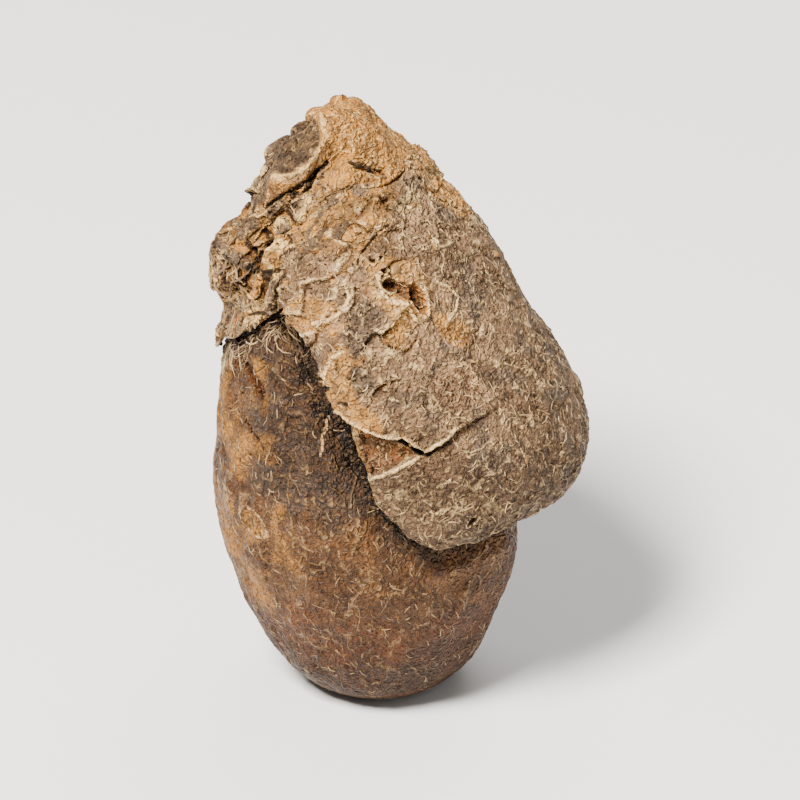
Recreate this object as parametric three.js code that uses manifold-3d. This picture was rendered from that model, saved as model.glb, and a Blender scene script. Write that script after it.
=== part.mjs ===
// A dried lily bulb. Two thick, hard scales grow from a crusted root plate. The inner scale is the
// round body that the bulb stands on. The outer scale clasps its front and right side and ends in
// a blunt free edge. The root plate caps the upper left end, with the stubs of broken roots.
//
// Millimetres, +Z up. The origin is the middle of the flat spot that the bulb stands on, and the
// broad face looks towards -Y. A bearing goes round the bulb: 0 is +X, 90 is +Y, the back.

import * as THREE from "three";
import { mergeVertices } from "three/addons/utils/BufferGeometryUtils.js";
import { ImprovedNoise } from "three/addons/math/ImprovedNoise.js";
import Module from "manifold-3d";

const { lerp, smoothstep, clamp, euclideanModulo } = THREE.MathUtils;
const DEG = Math.PI / 180;
const GAP = 0.3; // clearance between neighbouring pieces

// The inner scale's level sections from the flat spot up: [height, left x, right x, half depth].
const SECTIONS = [
  [0, -4.7, 4.4, 4.4],
  [0.8, -5.9, 5.6, 5.7],
  [2.2, -7.3, 6.9, 7.0],
  [5, -8.8, 8.4, 8.5],
  [9, -10.4, 9.7, 9.9],
  [13.3, -11.4, 10.4, 10.7],
  [17.8, -11.9, 10.7, 10.9],
  [22.8, -11.6, 10.0, 10.3],
  [26.8, -10.9, 8.4, 9.4],
  [31.8, -9.6, 6.5, 7.9],
  [36.3, -7.9, 3.3, 6.0],
  [40.3, -5.8, -0.8, 3.4],
  [43.8, -3.8, -3.2, 0.3],
];
const TOP = SECTIONS.at(-1)[0];
const TIP = { x: -3.1, above: 0.2 }; // the body's very end, under the plate
const LEAN_BACK = 6; // the top of the body stands this far behind its foot
const INNER_LUMPS = [
  { size: 7.5, high: 0.4, seed: 3 }, // shrinkage dents
  { size: 3.4, high: 0.2, seed: 11 },
  { size: 2.7, long: 15, high: 0.26, seed: 5 }, // long soft wrinkles
];
const HOLLOW = { deep: 1.0, wide: 2.7 }; // the trough that follows the outer scale's edge
const LIP = { bearing: -40, wide: 30, below: 16.3, away: 2.8, half: 1.1, rise: 0.5 };

// The outer scale's edge, once round: [bearing, height]. Its top end is hidden in the plate.
const OUTER_EDGE = [
  [-58, 16.2],
  [-71, 16.4],
  [-80, 18.1],
  [-88, 20.2],
  [-92, 22.8],
  [-95, 25.1],
  [-103, 27.6],
  [-110, 29.8],
  [-119, 31.4],
  [-126, 34.8],
  [-138, 39.3],
  [-112, 42.8],
  [-40, 43.6],
  [50, 43.2],
  [108, 40.3],
  [104, 34.3],
  [88, 28.8],
  [64, 24.2],
  [36, 20],
  [10, 16.6],
  [-18, 15.6],
  [-38, 16.3],
];
const OUTER_MIDDLE = [-22, 31]; // a point of its broad face that its rings are drawn round
const OUTER_HALF = 12; // about how far its edge is from there
const OUTER_SUNK = 1.8; // how deep its solid starts in the inner scale, before the two are parted
const OUTER_THICK = 2.1;
const EDGE_THICK = 1.0;
const EDGE_ROUNDS_IN = 3.8; // this far in from its edge the outer scale is full thickness
const FLANK = { bearing: 0, height: 19.8, thick: 2.2, wide: 60, high: 5.2 }; // it bulges there
const TOP_THICK = 0.8; // its thickness where it meets the plate
const TOP_TAPER = [0.5, 9]; // the taper towards the plate, as distances below the plate's plane
const OUTER_LUMPS = [
  { size: 6.5, high: 0.34, seed: 7 },
  { size: 3, high: 0.16, seed: 13 },
];

// The outer scale's topmost skin is torn off below this line: [bearing, height].
const TORN_LINE = [
  [-120, 17.8],
  [-98, 22.3],
  [-88, 24.4],
  [-80, 25],
  [-70, 23.6],
  [-62, 25],
  [-48, 25.6],
  [-30, 25.6],
];
const SKIN = { thick: 0.55, slope: 2.6, fades: [-80, -40] };

// The root plate lies on a sloping plane through PLATE_MIDDLE that faces up, left and back.
const PLATE_MIDDLE = new THREE.Vector3(-5.7, 4.7, 35.4);
const PLATE_UP = new THREE.Vector3(-0.656, 0.3775, 0.654).normalize();
const PLATE_ALONG = new THREE.Vector3(0.755, 0.328, 0.568).normalize();
const PLATE_ACROSS = new THREE.Vector3().crossVectors(PLATE_UP, PLATE_ALONG);
const PLATE_HALF = [8.1, 6.6]; // half sizes along and across
const PLATE_RISE = 3.5; // crust above the sloping plane
const PLATE_TILT = 0.03; // how much more it rises for each millimetre along
const PLATE_SQUARE = [2.2, 5]; // exponent of its outline in section at its low and high ends
const RIM_BLEND = 0.3; // how softly its rim passes from its own oval to the scales' outline
const RIM_WHOLE = [0.75, 0.95]; // shares of the way out, between which its pits fade towards the rim
const SKIRT = {
  depth: [1.5, 3.9],
  deepAt: 225,
  ragged: { size: 2.6, high: 0.8, seed: 31 }, // how its depth varies round a circle
  raggedRound: 6, // that circle's radius
  thick: [0.5, 0.75], // at the plate's plane and at its lower edge
  inner: 1.5,
  tuck: 0.3, // share of the rim's reach that is gone at its lower edge
};
const OVER_EDGE = [-2.4, -0.6]; // the crust climbs on to the outer scale this far before its edge
const CRUST_LUMPS = [
  { size: 4.2, high: 0.6, seed: 21 }, // coarse crusty lumps, with smaller ones on them
  { size: 2.1, high: 0.42, seed: 27 },
];

const ROOTS = {
  count: 14,
  radius: [0.5, 0.9],
  taper: [1.5, 0.75], // shares of the radius at a root's foot and at its broken end
  length: [0.1, 0.7],
  buried: 1.6,
  spread: 0.86,
  sides: 8,
};
const GOLDEN_ANGLE = 137.5;

const noise = new ImprovedNoise();

// The sum at a point of layers of smooth lumps. Each layer's lumps are about `size` across and
// `long` from top to bottom, and stand `high` above or below. `seed` picks their pattern.
function lumps(p, layers) {
  return layers.reduce((sum, { size, long = size, high, seed }) => {
    const value = noise.noise(p.x / size + seed, p.y / size - seed, p.z / long + 0.5 * seed);
    return sum + high * 1.4 * value;
  }, 0);
}

// A smooth curve through table rows [key, ...values], as a function from key to values.
function curveThrough(rows) {
  const width = rows[0].length - 1;
  const keys = Float32Array.from(rows, (row) => row[0]);
  const values = Float32Array.from(rows.flatMap((row) => row.slice(1)));
  const curve = new THREE.CubicInterpolant(keys, values, width);
  return (key) => Array.from(curve.evaluate(clamp(key, keys[0], keys.at(-1))));
}

const sectionAt = curveThrough(SECTIONS);
const tornHeightAt = curveThrough(TORN_LINE);

// `count` angles that go once round, in degrees.
function anglesRound(count) {
  return Array.from({ length: count }, (_, i) => (360 * i) / count);
}

// A point of the smooth body, before any relief.
function bodyPoint(bearing, height) {
  const z = clamp(height, 0, TOP);
  const [left, right, depth] = sectionAt(z);
  const a = bearing * DEG;
  return new THREE.Vector3(
    (left + right) / 2 + ((right - left) / 2) * Math.cos(a),
    LEAN_BACK * (z / TOP) ** 2 + depth * Math.sin(a),
    z,
  );
}

// The outward direction of the smooth body.
function bodyNormal(bearing, height) {
  const step = 0.05;
  const z = clamp(height, step, TOP - step);
  const round = bodyPoint(bearing + 1, z).sub(bodyPoint(bearing - 1, z));
  const up = bodyPoint(bearing, z + step).sub(bodyPoint(bearing, z - step));
  return round.cross(up).normalize();
}

// A point lifted straight off the smooth body.
function liftedPoint(bearing, height, lift) {
  return bodyPoint(bearing, height).addScaledVector(bodyNormal(bearing, height), lift);
}

// The bearing of any point, and how far it stands outside the smooth body at its own height.
function placeOnBody(p) {
  const [left, right, depth] = sectionAt(p.z);
  const x = p.x - (left + right) / 2;
  const y = p.y - LEAN_BACK * (p.z / TOP) ** 2;
  const share = Math.hypot(x / ((right - left) / 2), y / depth);
  return {
    bearing: Math.atan2(y / depth, x / ((right - left) / 2)) / DEG,
    outside: Math.hypot(x, y) * (1 - 1 / share),
  };
}

// The outer scale's edge as a closed loop of `count` [bearing, height] pairs.
function edgeLoop(count) {
  const points = OUTER_EDGE.map(([bearing, height]) => new THREE.Vector3(bearing, height, 0));
  const loop = new THREE.CatmullRomCurve3(points, true, "centripetal");
  return loop
    .getPoints(count)
    .slice(0, count)
    .map((p) => [p.x, p.y]);
}

const EDGE = edgeLoop(240);
const EDGE_SAMPLES = EDGE.map(([bearing, height]) => bodyPoint(bearing, height));

// How far a point of the body is from the outer scale's edge.
function distanceToEdge(p) {
  return Math.min(...EDGE_SAMPLES.map((q) => q.distanceTo(p)));
}

// Whether the outer scale covers the body there: its edge is crossed an odd number of times by a
// line straight up.
function isCovered(bearing, height) {
  const crossings = EDGE.filter(([b0, h0], i) => {
    const [b1, h1] = EDGE[(i + 1) % EDGE.length];
    if (b0 > bearing === b1 > bearing) return false;
    return height < lerp(h0, h1, (bearing - b0) / (b1 - b0));
  });
  return crossings.length % 2 === 1;
}

// How far a point lies below the plate's plane.
function belowPlate(p) {
  return -p.clone().sub(PLATE_MIDDLE).dot(PLATE_UP);
}

// Height of the inner scale's own relief: shrinkage dents, long soft wrinkles, the hollow along the
// outer scale's edge, and the lip that has curled up in front of it.
function innerRelief(bearing, height) {
  const p = bodyPoint(bearing, height);
  const away = distanceToEdge(p);
  const hollow = -HOLLOW.deep * Math.exp(-((away / HOLLOW.wide) ** 2));
  const turned = euclideanModulo(bearing + 180, 360) - 180;
  const lipped = height < LIP.below ? Math.exp(-(((turned - LIP.bearing) / LIP.wide) ** 4)) : 0;
  const lip = LIP.rise * lipped * Math.exp(-(((away - LIP.away) / LIP.half) ** 2));
  return smoothstep(height, 0, 5) * (lumps(p, INNER_LUMPS) + hollow + lip);
}

// A closed skin over rings of equally many points, with a fan to a middle point at each end.
function skinOver(first, rings, last) {
  const n = rings[0].length;
  const points = [first, ...rings.flat(), last];
  const faces = [];
  const at = (ring, i) => 1 + ring * n + (i % n);
  for (let i = 0; i < n; i++) {
    faces.push([0, at(0, i + 1), at(0, i)]);
    for (let ring = 0; ring + 1 < rings.length; ring++) {
      faces.push([at(ring, i), at(ring, i + 1), at(ring + 1, i)]);
      faces.push([at(ring, i + 1), at(ring + 1, i + 1), at(ring + 1, i)]);
    }
    faces.push([points.length - 1, at(rings.length - 1, i), at(rings.length - 1, i + 1)]);
  }
  const places = points.flatMap((p) => p.toArray());
  return new THREE.BufferGeometry()
    .setAttribute("position", new THREE.Float32BufferAttribute(places, 3))
    .setIndex(faces.flat());
}

const wasm = await Module();
wasm.setup();

// A closed geometry as a solid for joining and cutting, turned right side out if need be.
function solid(geometry) {
  const bare = geometry.clone().deleteAttribute("normal").deleteAttribute("uv");
  const merged = mergeVertices(bare, 1e-4);
  const build = (triVerts) =>
    new wasm.Manifold(
      new wasm.Mesh({ numProp: 3, vertProperties: merged.attributes.position.array, triVerts }),
    );
  const triVerts = new Uint32Array(merged.index.array);
  const made = build(triVerts);
  return made.volume() > 0 ? made : build(triVerts.reverse());
}

function geometryOf(made) {
  const mesh = made.getMesh();
  const geometry = new THREE.BufferGeometry()
    .setAttribute("position", new THREE.BufferAttribute(mesh.vertProperties, 3))
    .setIndex(new THREE.BufferAttribute(mesh.triVerts, 1));
  geometry.computeVertexNormals();
  return geometry;
}

// Everything above the plate's sloping plane, raised by `rise`.
function abovePlate(rise) {
  const size = 80;
  const box = new THREE.BoxGeometry(size, size, size).translate(0, 0, size / 2 + rise);
  const turn = new THREE.Matrix4().makeBasis(PLATE_ALONG, PLATE_ACROSS, PLATE_UP);
  return solid(box.applyMatrix4(turn.setPosition(PLATE_MIDDLE)));
}

// The whole inner scale before it is cut for the plate, grown by `lift`.
function innerBody(lift, around = 66, levels = 46) {
  const heights = Array.from(
    { length: levels + 1 },
    (_, level) => (TOP * (1 - Math.cos((Math.PI * level) / levels))) / 2,
  );
  const rings = heights.map((height, level) =>
    anglesRound(around).map((bearing) =>
      liftedPoint(bearing, height, innerRelief(bearing, height) + (level ? lift : 0)),
    ),
  );
  const tip = new THREE.Vector3(TIP.x, LEAN_BACK, TOP + TIP.above + lift);
  return solid(skinOver(new THREE.Vector3(0, 0, 0), rings, tip));
}

// Thickness of the outer scale over a point of the body: full over its face and flank, thin at its
// edge and at the plate, with the step where its topmost skin is torn off.
function outerThickness(bearing, height) {
  const p = bodyPoint(bearing, height);
  const flank =
    ((bearing - FLANK.bearing) / FLANK.wide) ** 2 + ((height - FLANK.height) / FLANK.high) ** 2;
  const skin =
    SKIN.thick *
    smoothstep(height - tornHeightAt(bearing)[0], 0, SKIN.slope) *
    (1 - smoothstep(bearing, ...SKIN.fades));
  const full = OUTER_THICK + FLANK.thick * Math.exp(-flank) + lumps(p, OUTER_LUMPS) + skin;
  const tapered = lerp(TOP_THICK, full, smoothstep(belowPlate(p), ...TOP_TAPER));
  const inwards = clamp(distanceToEdge(p) / EDGE_ROUNDS_IN, 0, 1);
  return lerp(Math.min(EDGE_THICK, tapered), tapered, Math.sqrt(1 - (1 - inwards) ** 2));
}

// The whole outer scale before it is fitted: a thick leaf sunk into the smooth body, `grow` larger
// outwards and past its edge. Its rings run from the middle of its face out to its edge, and back
// to the middle on its inner side.
function outerLeaf(grow, around = 100) {
  const edge = edgeLoop(around);
  const spread = 1 + grow / OUTER_HALF;
  const spot = (reach, i) =>
    OUTER_MIDDLE.map((middle, axis) => lerp(middle, edge[i][axis], reach * spread));
  const outside = (reach, i) => {
    const place = spot(reach, i);
    return liftedPoint(...place, GAP + outerThickness(...place) + grow);
  };
  const inside = (reach, i) => liftedPoint(...spot(reach, i), -OUTER_SUNK);
  const ring = (side, reach) => edge.map((_, i) => side(reach, i));
  const face = [0.07, 0.16, 0.25, 0.34, 0.42, 0.49, 0.56, 0.62, 0.68, 0.74, 0.79].map((reach) =>
    ring(outside, reach),
  );
  const rounded = [0.84, 0.88, 0.92, 0.95, 0.975, 1].map((reach) => ring(outside, reach));
  const back = [0.99, 0.9, 0.75, 0.5, 0.25].map((reach) => ring(inside, reach));
  return solid(skinOver(outside(0, 0), [...face, ...rounded, ...back], inside(0, 0)));
}

function outerScale() {
  return outerLeaf(0).subtract(innerBody(GAP)).subtract(abovePlate(0));
}

// Plate coordinates to a point: along, across and up from its middle.
function platePoint(along, across, up) {
  return PLATE_MIDDLE.clone()
    .addScaledVector(PLATE_ALONG, along)
    .addScaledVector(PLATE_ACROSS, across)
    .addScaledVector(PLATE_UP, up);
}

// A point at an angle round the plate's axis, a distance out from it and a level on it.
function roundPlate(round, out, level) {
  return platePoint(out * Math.cos(round * DEG), out * Math.sin(round * DEG), level);
}

// How far the scales stand off the smooth body near the plate, on both sides of the outer scale's
// edge and smoothly over it.
function scalesStandOff(bearing, height) {
  const away = distanceToEdge(bodyPoint(bearing, height));
  const covered = smoothstep(isCovered(bearing, height) ? away : -away, ...OVER_EDGE);
  return lerp(innerRelief(bearing, height), GAP + outerThickness(bearing, height), covered);
}

// How far out from the plate's axis the two scales reach, found by halving steps.
function scalesReach(round, level) {
  const isInside = (out) => {
    const p = roundPlate(round, out, level);
    const { bearing, outside } = placeOnBody(p);
    return outside < scalesStandOff(bearing, p.z);
  };
  let out = 2;
  for (let step = 0.8; step > 0.01; step /= 2) {
    while (isInside(out + step)) out += step;
  }
  return out;
}

// The plate's rim at an angle round it: its own oval, pushed out where the scales reach past that.
const rims = new Map();
function rimAt(round) {
  if (!rims.has(round)) {
    const [along, across] = PLATE_HALF;
    const oval = 1 / Math.hypot(Math.cos(round * DEG) / along, Math.sin(round * DEG) / across);
    const past = scalesReach(round, 0) + GAP + SKIRT.thick[0] - oval;
    rims.set(round, oval + RIM_BLEND * Math.log1p(Math.exp(past / RIM_BLEND)));
  }
  return rims.get(round);
}

// The crust's face at an angle round it and a share of the way out to its rim.
function crustFace(round, share) {
  const out = share * rimAt(round);
  const turn = Math.cos(round * DEG);
  const square = lerp(...PLATE_SQUARE, 0.5 + 0.5 * turn);
  const dome = (1 - share ** square) ** (1 / square);
  const p = roundPlate(round, out, PLATE_RISE * (1 + PLATE_TILT * out * turn) * dome);
  const away = p.clone().sub(platePoint(0, 0, -PLATE_RISE)).normalize();
  const relief = lumps(p, CRUST_LUMPS);
  return p.addScaledVector(away, lerp(relief, Math.max(relief, 0), smoothstep(share, ...RIM_WHOLE)));
}

// The crust's ragged skirt, which laps down over the scales. `share` goes from 0 at the plate's
// plane to 1 at the skirt's lower edge, and `lift` is how far it stands off the scales.
function skirtPoint(round, share, lift) {
  const facing = 0.5 + 0.5 * Math.cos((round - SKIRT.deepAt) * DEG);
  const ragged = lumps(roundPlate(round, SKIRT.raggedRound, 0), [SKIRT.ragged]);
  const level = -share * (lerp(...SKIRT.depth, facing) + ragged);
  return roundPlate(round, scalesReach(round, level) + GAP + lift, level);
}

// The outside of the skirt, which starts from the plate's rim.
function skirtOutside(round, share) {
  const hugging = skirtPoint(round, share, lerp(...SKIRT.thick, share));
  const axis = PLATE_MIDDLE.clone().addScaledVector(PLATE_UP, -belowPlate(hugging));
  const way = hugging.clone().sub(axis);
  const pushed = Math.max(0, rimAt(round) * (1 - SKIRT.tuck * share ** 2) - way.length());
  const relief = Math.max(-pushed, lumps(hugging, CRUST_LUMPS) * (1 - 0.5 * share));
  return hugging.addScaledVector(way.normalize(), pushed + relief);
}

// A short broken root in the plate's face. They stand in a sunflower spiral and lean outwards.
function rootStub(index) {
  const round = index * GOLDEN_ANGLE;
  const out = ROOTS.spread * Math.sqrt((index + 0.6) / ROOTS.count);
  const vary = (turns) => 0.5 + 0.5 * Math.sin(index * turns + 1);
  const radius = lerp(...ROOTS.radius, vary(1.7));
  const length = lerp(...ROOTS.length, vary(2.4));
  const stub = new THREE.CylinderGeometry(
    ROOTS.taper[1] * radius,
    ROOTS.taper[0] * radius,
    length + ROOTS.buried,
    ROOTS.sides,
  ).translate(0, (length - ROOTS.buried) / 2, 0);
  const foot = crustFace(round, out);
  const way = foot.clone().sub(platePoint(0, 0, -2.5 * PLATE_RISE)).normalize();
  stub.applyQuaternion(new THREE.Quaternion().setFromUnitVectors(new THREE.Vector3(0, 1, 0), way));
  return solid(stub.translate(foot.x, foot.y, foot.z));
}

// The plate: its crusted face, its skirt, and the roots, cut to sit a clearance off both scales.
function rootPlate(around = 60) {
  const ring = (place) => anglesRound(around).map(place);
  const face = [0.18, 0.34, 0.46, 0.56, 0.66, 0.76, 0.84, 0.91, 0.96, 0.99].map((share) =>
    ring((round) => crustFace(round, share)),
  );
  const outside = [0, 0.25, 0.5, 0.75, 1].map((share) => ring((round) => skirtOutside(round, share)));
  const inside = [1, 0.4].map((share) => ring((round) => skirtPoint(round, share, -SKIRT.inner)));
  const rings = [...face, ...outside, ...inside];
  const crust = solid(skinOver(crustFace(0, 0), rings, platePoint(0, 0, -1)));
  const stubs = Array.from({ length: ROOTS.count }, (_, i) => rootStub(i));
  const scales = innerBody(GAP).add(outerLeaf(GAP)).subtract(abovePlate(GAP));
  return stubs.reduce((whole, stub) => whole.add(stub), crust).subtract(scales);
}

// The largest body of a solid, without the scraps that a cut can leave.
function largest(made) {
  return made.decompose().sort((a, b) => b.volume() - a.volume())[0];
}

function piece(name, made, color, roughness) {
  const material = new THREE.MeshStandardMaterial({ color, roughness, metalness: 0 });
  const mesh = new THREE.Mesh(geometryOf(largest(made)), material);
  mesh.name = name;
  return mesh;
}

const bulb = new THREE.Group();
bulb.add(
  piece("inner_scale", innerBody(0).subtract(abovePlate(0)), 0x8a6748, 0.8),
  piece("outer_scale", outerScale(), 0x8f7c68, 0.88),
  piece("root_plate", rootPlate(), 0x93774f, 0.92),
);

export default bulb;
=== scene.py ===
"""The looks of a dried lily bulb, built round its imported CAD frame, in the frame's own metres and axes.

Two thick scales grow from a crusted root plate. Each of the three is carved from a fine copy of its CAD
solid and painted with masks that its material reads. Fibres, strands, flakes and crumbs are set on them.
"""

import logging
import math
from collections.abc import Sequence
from dataclasses import dataclass, field
from enum import Enum
from itertools import product
from typing import ClassVar

import bmesh
import bpy
import numpy as np
from mathutils import Matrix, Vector
from mathutils.bvhtree import BVHTree
from mathutils.kdtree import KDTree


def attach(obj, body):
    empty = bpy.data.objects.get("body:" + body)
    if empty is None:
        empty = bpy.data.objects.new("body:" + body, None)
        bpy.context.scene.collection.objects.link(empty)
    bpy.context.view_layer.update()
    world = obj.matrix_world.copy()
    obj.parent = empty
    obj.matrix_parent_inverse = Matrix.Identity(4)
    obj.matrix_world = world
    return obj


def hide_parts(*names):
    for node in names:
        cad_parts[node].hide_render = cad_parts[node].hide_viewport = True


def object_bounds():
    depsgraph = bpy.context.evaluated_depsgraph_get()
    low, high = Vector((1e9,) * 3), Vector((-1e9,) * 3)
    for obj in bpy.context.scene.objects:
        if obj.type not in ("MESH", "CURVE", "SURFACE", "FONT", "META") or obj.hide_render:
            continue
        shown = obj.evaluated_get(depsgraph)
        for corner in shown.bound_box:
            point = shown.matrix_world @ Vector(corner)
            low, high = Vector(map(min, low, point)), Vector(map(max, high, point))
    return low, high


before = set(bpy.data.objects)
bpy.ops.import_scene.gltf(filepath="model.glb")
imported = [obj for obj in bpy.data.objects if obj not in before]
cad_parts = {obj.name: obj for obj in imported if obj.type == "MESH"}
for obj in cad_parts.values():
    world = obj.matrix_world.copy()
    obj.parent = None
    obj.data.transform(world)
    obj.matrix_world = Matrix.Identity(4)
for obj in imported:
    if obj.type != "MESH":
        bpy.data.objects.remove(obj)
CAD_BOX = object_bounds()

MM = 0.001  # a millimetre in the frame's metres
LOG = logging.getLogger("lily_bulb")

Point = tuple[float, float]
Colour = tuple[float, float, float]


class Part(Enum):
    """The bulb's three pieces, by the CAD nodes that they stand for."""

    INNER = "inner_scale"
    OUTER = "outer_scale"
    PLATE = "root_plate"


class Mask(Enum):
    """What is painted on a piece for its material to read. Each is a point attribute from 0 to 1."""

    CREAM = "cream"  # torn, curled and worn edges, and painted highlight on rims and crests
    SHADE_AND_SOIL = "shade_and_soil"  # painted shade in cracks, pits and the cleft between the scales and at the feet of steps, and real soil and marks
    GREY = "grey"  # weathered skin, with a painted sheen high on the inner scale and painted shade low on the outer one
    GOLD = "gold"  # corky crust
    RUST = "rust"  # fresh orange-brown flesh
    SHADE_AND_SOAK = "deep"  # painted shade at the feet of steps, in troughs, beside the other pieces and on low parts, and soaked skin


# ---------------------------------------------------------------------------------------------
# Shapes of numbers


def ease(values: np.ndarray, low: float, high: float) -> np.ndarray:
    """A smooth step from 0 at low to 1 at high, or the other way round if high is the lower one."""
    share = np.clip((values - low) / (high - low), 0, 1)
    return share * share * (3 - 2 * share)


def bell(values: np.ndarray, middle: float, width: float) -> np.ndarray:
    """A bell of height 1 about a middle value."""
    return np.exp(-(((values - middle) / width) ** 2))


def unit(vector: Sequence[float]) -> np.ndarray:
    """A vector's direction."""
    array = np.array(vector, float)
    return array / np.linalg.norm(array)


def squeezed(points: np.ndarray, way: np.ndarray, share: float) -> np.ndarray:
    """The points squeezed along one direction, so that patterns over them come out drawn out along it."""
    return points - (1 - share) * (points @ way)[:, None] * way


@dataclass(frozen=True)
class Cells:
    """Where points lie among cells: how far from the border, and their own cell and the next one."""

    border: np.ndarray
    own: np.ndarray
    offset: np.ndarray
    other: np.ndarray
    other_offset: np.ndarray


class Grain:
    """Seeded noise and cells over points in space."""

    TABLE = 512
    STRENGTH = 1.7  # brings the noise to about -1 to 1
    FINER = 2.03  # how much finer each layer is than the one before
    APART = 7.7  # how far the layers are moved apart

    def __init__(self, seed: int) -> None:
        """Draws the tables.

        Args:
            seed: picks the pattern.
        """
        draw = np.random.default_rng(seed)
        slopes = draw.normal(size=(self.TABLE, 3))
        self.slopes = slopes / np.linalg.norm(slopes, axis=1, keepdims=True)
        self.order = draw.permutation(self.TABLE)
        self.spots = draw.random((self.TABLE, 3))
        self.values = draw.random(self.TABLE)

    def _pick(self, cells: np.ndarray) -> np.ndarray:
        """A table row for each whole-numbered cell."""
        row = self.order[cells[:, 0] % self.TABLE]
        row = self.order[(row + cells[:, 1]) % self.TABLE]
        return self.order[(row + cells[:, 2]) % self.TABLE]

    def smooth(self, points: np.ndarray) -> np.ndarray:
        """Gradient noise.

        Args:
            points: one row for each point, in units of a lump's size.

        Returns:
            A value from about -1 to 1 for each point.
        """
        cells = np.floor(points).astype(np.int64)
        part = points - cells
        fade = part**3 * (part * (part * 6 - 15) + 10)
        total = np.zeros(len(points))
        for corner in product((0, 1), repeat=3):
            step = np.array(corner)
            slope = self.slopes[self._pick(cells + step)]
            weight = np.prod(np.where(step, fade, 1 - fade), axis=1)
            total += weight * np.einsum("ij,ij->i", slope, part - step)
        return total * self.STRENGTH

    def layered(self, points: np.ndarray, layers: int = 3) -> np.ndarray:
        """Noise with finer and weaker layers on it.

        Args:
            points: one row for each point, in units of the largest lump's size.
            layers: how many sizes of lump there are.

        Returns:
            A value from about -1 to 1 for each point.
        """
        total = sum(self.smooth(points * self.FINER**i + self.APART * i) * 0.5**i for i in range(layers))
        return total / (2 - 0.5 ** (layers - 1))

    def ridged(self, points: np.ndarray) -> np.ndarray:
        """Noise with sharp crests at 1 and broad troughs near 0."""
        return 1 - np.abs(np.clip(1.6 * self.smooth(points), -1, 1))

    def patchy(
        self, points: np.ndarray, size: float, low: float, high: float, shift: float = 0
    ) -> np.ndarray:
        """Soft patches from 0 to 1. A shift keeps patches of one size from falling together."""
        return ease(self.smooth(points / size + shift), low, high)

    def warped(self, points: np.ndarray, size: float, reach: float) -> np.ndarray:
        """The points moved about by soft noise, so that patterns over them meander.

        Args:
            points: one row for each point.
            size: the size of the meanders.
            reach: how far a point moves at most, in the same units.

        Returns:
            The moved points.
        """
        shift = np.stack([self.smooth(points / size + offset) for offset in (3.1, 11.9, 23.3)], axis=1)
        return points + reach * shift

    def cells(self, points: np.ndarray) -> Cells:
        """Cells about scattered seeds.

        Args:
            points: one row for each point, in units of a cell's size.

        Returns:
            Where each point lies among them.
        """
        base = np.floor(points).astype(np.int64)
        count = len(points)
        near, second = np.full(count, 9.0), np.full(count, 9.0)
        own, other = np.zeros(count), np.zeros(count)
        offset, other_offset = np.zeros((count, 3)), np.zeros((count, 3))
        for step in product((-1, 0, 1), repeat=3):
            at = base + np.array(step)
            row = self._pick(at)
            away = points - at - self.spots[row]
            distance = np.linalg.norm(away, axis=1)
            value = self.values[row]
            closest = distance < near
            runner = ~closest & (distance < second)
            second = np.where(closest, near, np.where(runner, distance, second))
            other = np.where(closest, own, np.where(runner, value, other))
            other_offset = np.where(closest[:, None], offset, np.where(runner[:, None], away, other_offset))
            near = np.where(closest, distance, near)
            own = np.where(closest, value, own)
            offset = np.where(closest[:, None], away, offset)
        return Cells(second - near, own, offset, other, other_offset)


# ---------------------------------------------------------------------------------------------
# The front view, the directions of growth, and lines and ovals


@dataclass(frozen=True)
class FrontView:
    """The plane that the bulb's broad face is seen in. Millimetres across it and up it."""

    elevation: float = 30.0

    @property
    def toward(self) -> np.ndarray:
        """The direction from the bulb to the viewer."""
        slope = math.radians(self.elevation)
        return np.array([0, -math.cos(slope), math.sin(slope)])

    @property
    def upward(self) -> np.ndarray:
        """The direction that is up in the view."""
        slope = math.radians(self.elevation)
        return np.array([0, math.sin(slope), math.cos(slope)])

    def place(self, points: np.ndarray) -> np.ndarray:
        """Where points are in the view, as rows of across and up."""
        return np.stack([points[:, 0], points @ self.upward], axis=1)

    def lift(self, spots: Sequence[Point]) -> np.ndarray:
        """Points in space, on the plane through the origin, that are seen at the given spots."""
        rows = np.array(spots, float)
        return rows[:, :1] * np.array([1.0, 0, 0]) + rows[:, 1:] * self.upward


VIEW = FrontView()
SEAM_SEED = 7  # picks where the pieces have grown together
ROUGH_SEED = 5  # picks the fine unevenness of every crack and rim
CRUST_MIDDLE = np.array([-5.7, 4.7, 35.4])  # the middle of the root plate, in millimetres
CRUST_ALONG = unit((0.755, 0.328, 0.568))  # along the plate's longer side, up to the right
CRUST_UP = unit((-0.656, 0.3775, 0.654))  # out of the plate, away from the scales


@dataclass(frozen=True)
class Line:
    """A line on the front of the bulb: its points in the view, its half width and its depth, in mm."""

    points: tuple[Point, ...]
    half_width: float
    depth: float

    def dense(self, step: float = 0.12) -> list[Point]:
        """Points along the line that are at most a step apart."""
        spots = [self.points[0]]
        for (x0, y0), (x1, y1) in zip(self.points, self.points[1:]):
            count = max(1, math.ceil(math.hypot(x1 - x0, y1 - y0) / step))
            spots += [(x0 + (x1 - x0) * i / count, y0 + (y1 - y0) * i / count) for i in range(1, count + 1)]
        return spots


@dataclass(frozen=True)
class Oval:
    """An oval on the front: its middle in the view, its half sizes, its turn in degrees and its depth."""

    middle: Point
    half: Point
    turn: float = 0.0
    depth: float = 0.0

    def share(self, plane: np.ndarray) -> np.ndarray:
        """How far out places in the view are, where 1 is the oval's rim."""
        angle = math.radians(self.turn)
        away = plane - np.array(self.middle)
        along = away @ np.array([math.cos(angle), math.sin(angle)])
        across = away @ np.array([-math.sin(angle), math.cos(angle)])
        return np.hypot(along / self.half[0], across / self.half[1])


def grown_together(points: np.ndarray) -> np.ndarray:
    """Where the crust's skirt and the skin below it have grown into one another, from 0 to 1."""
    return Grain(SEAM_SEED).patchy(points, 1.6, -0.7, -0.2)


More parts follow.
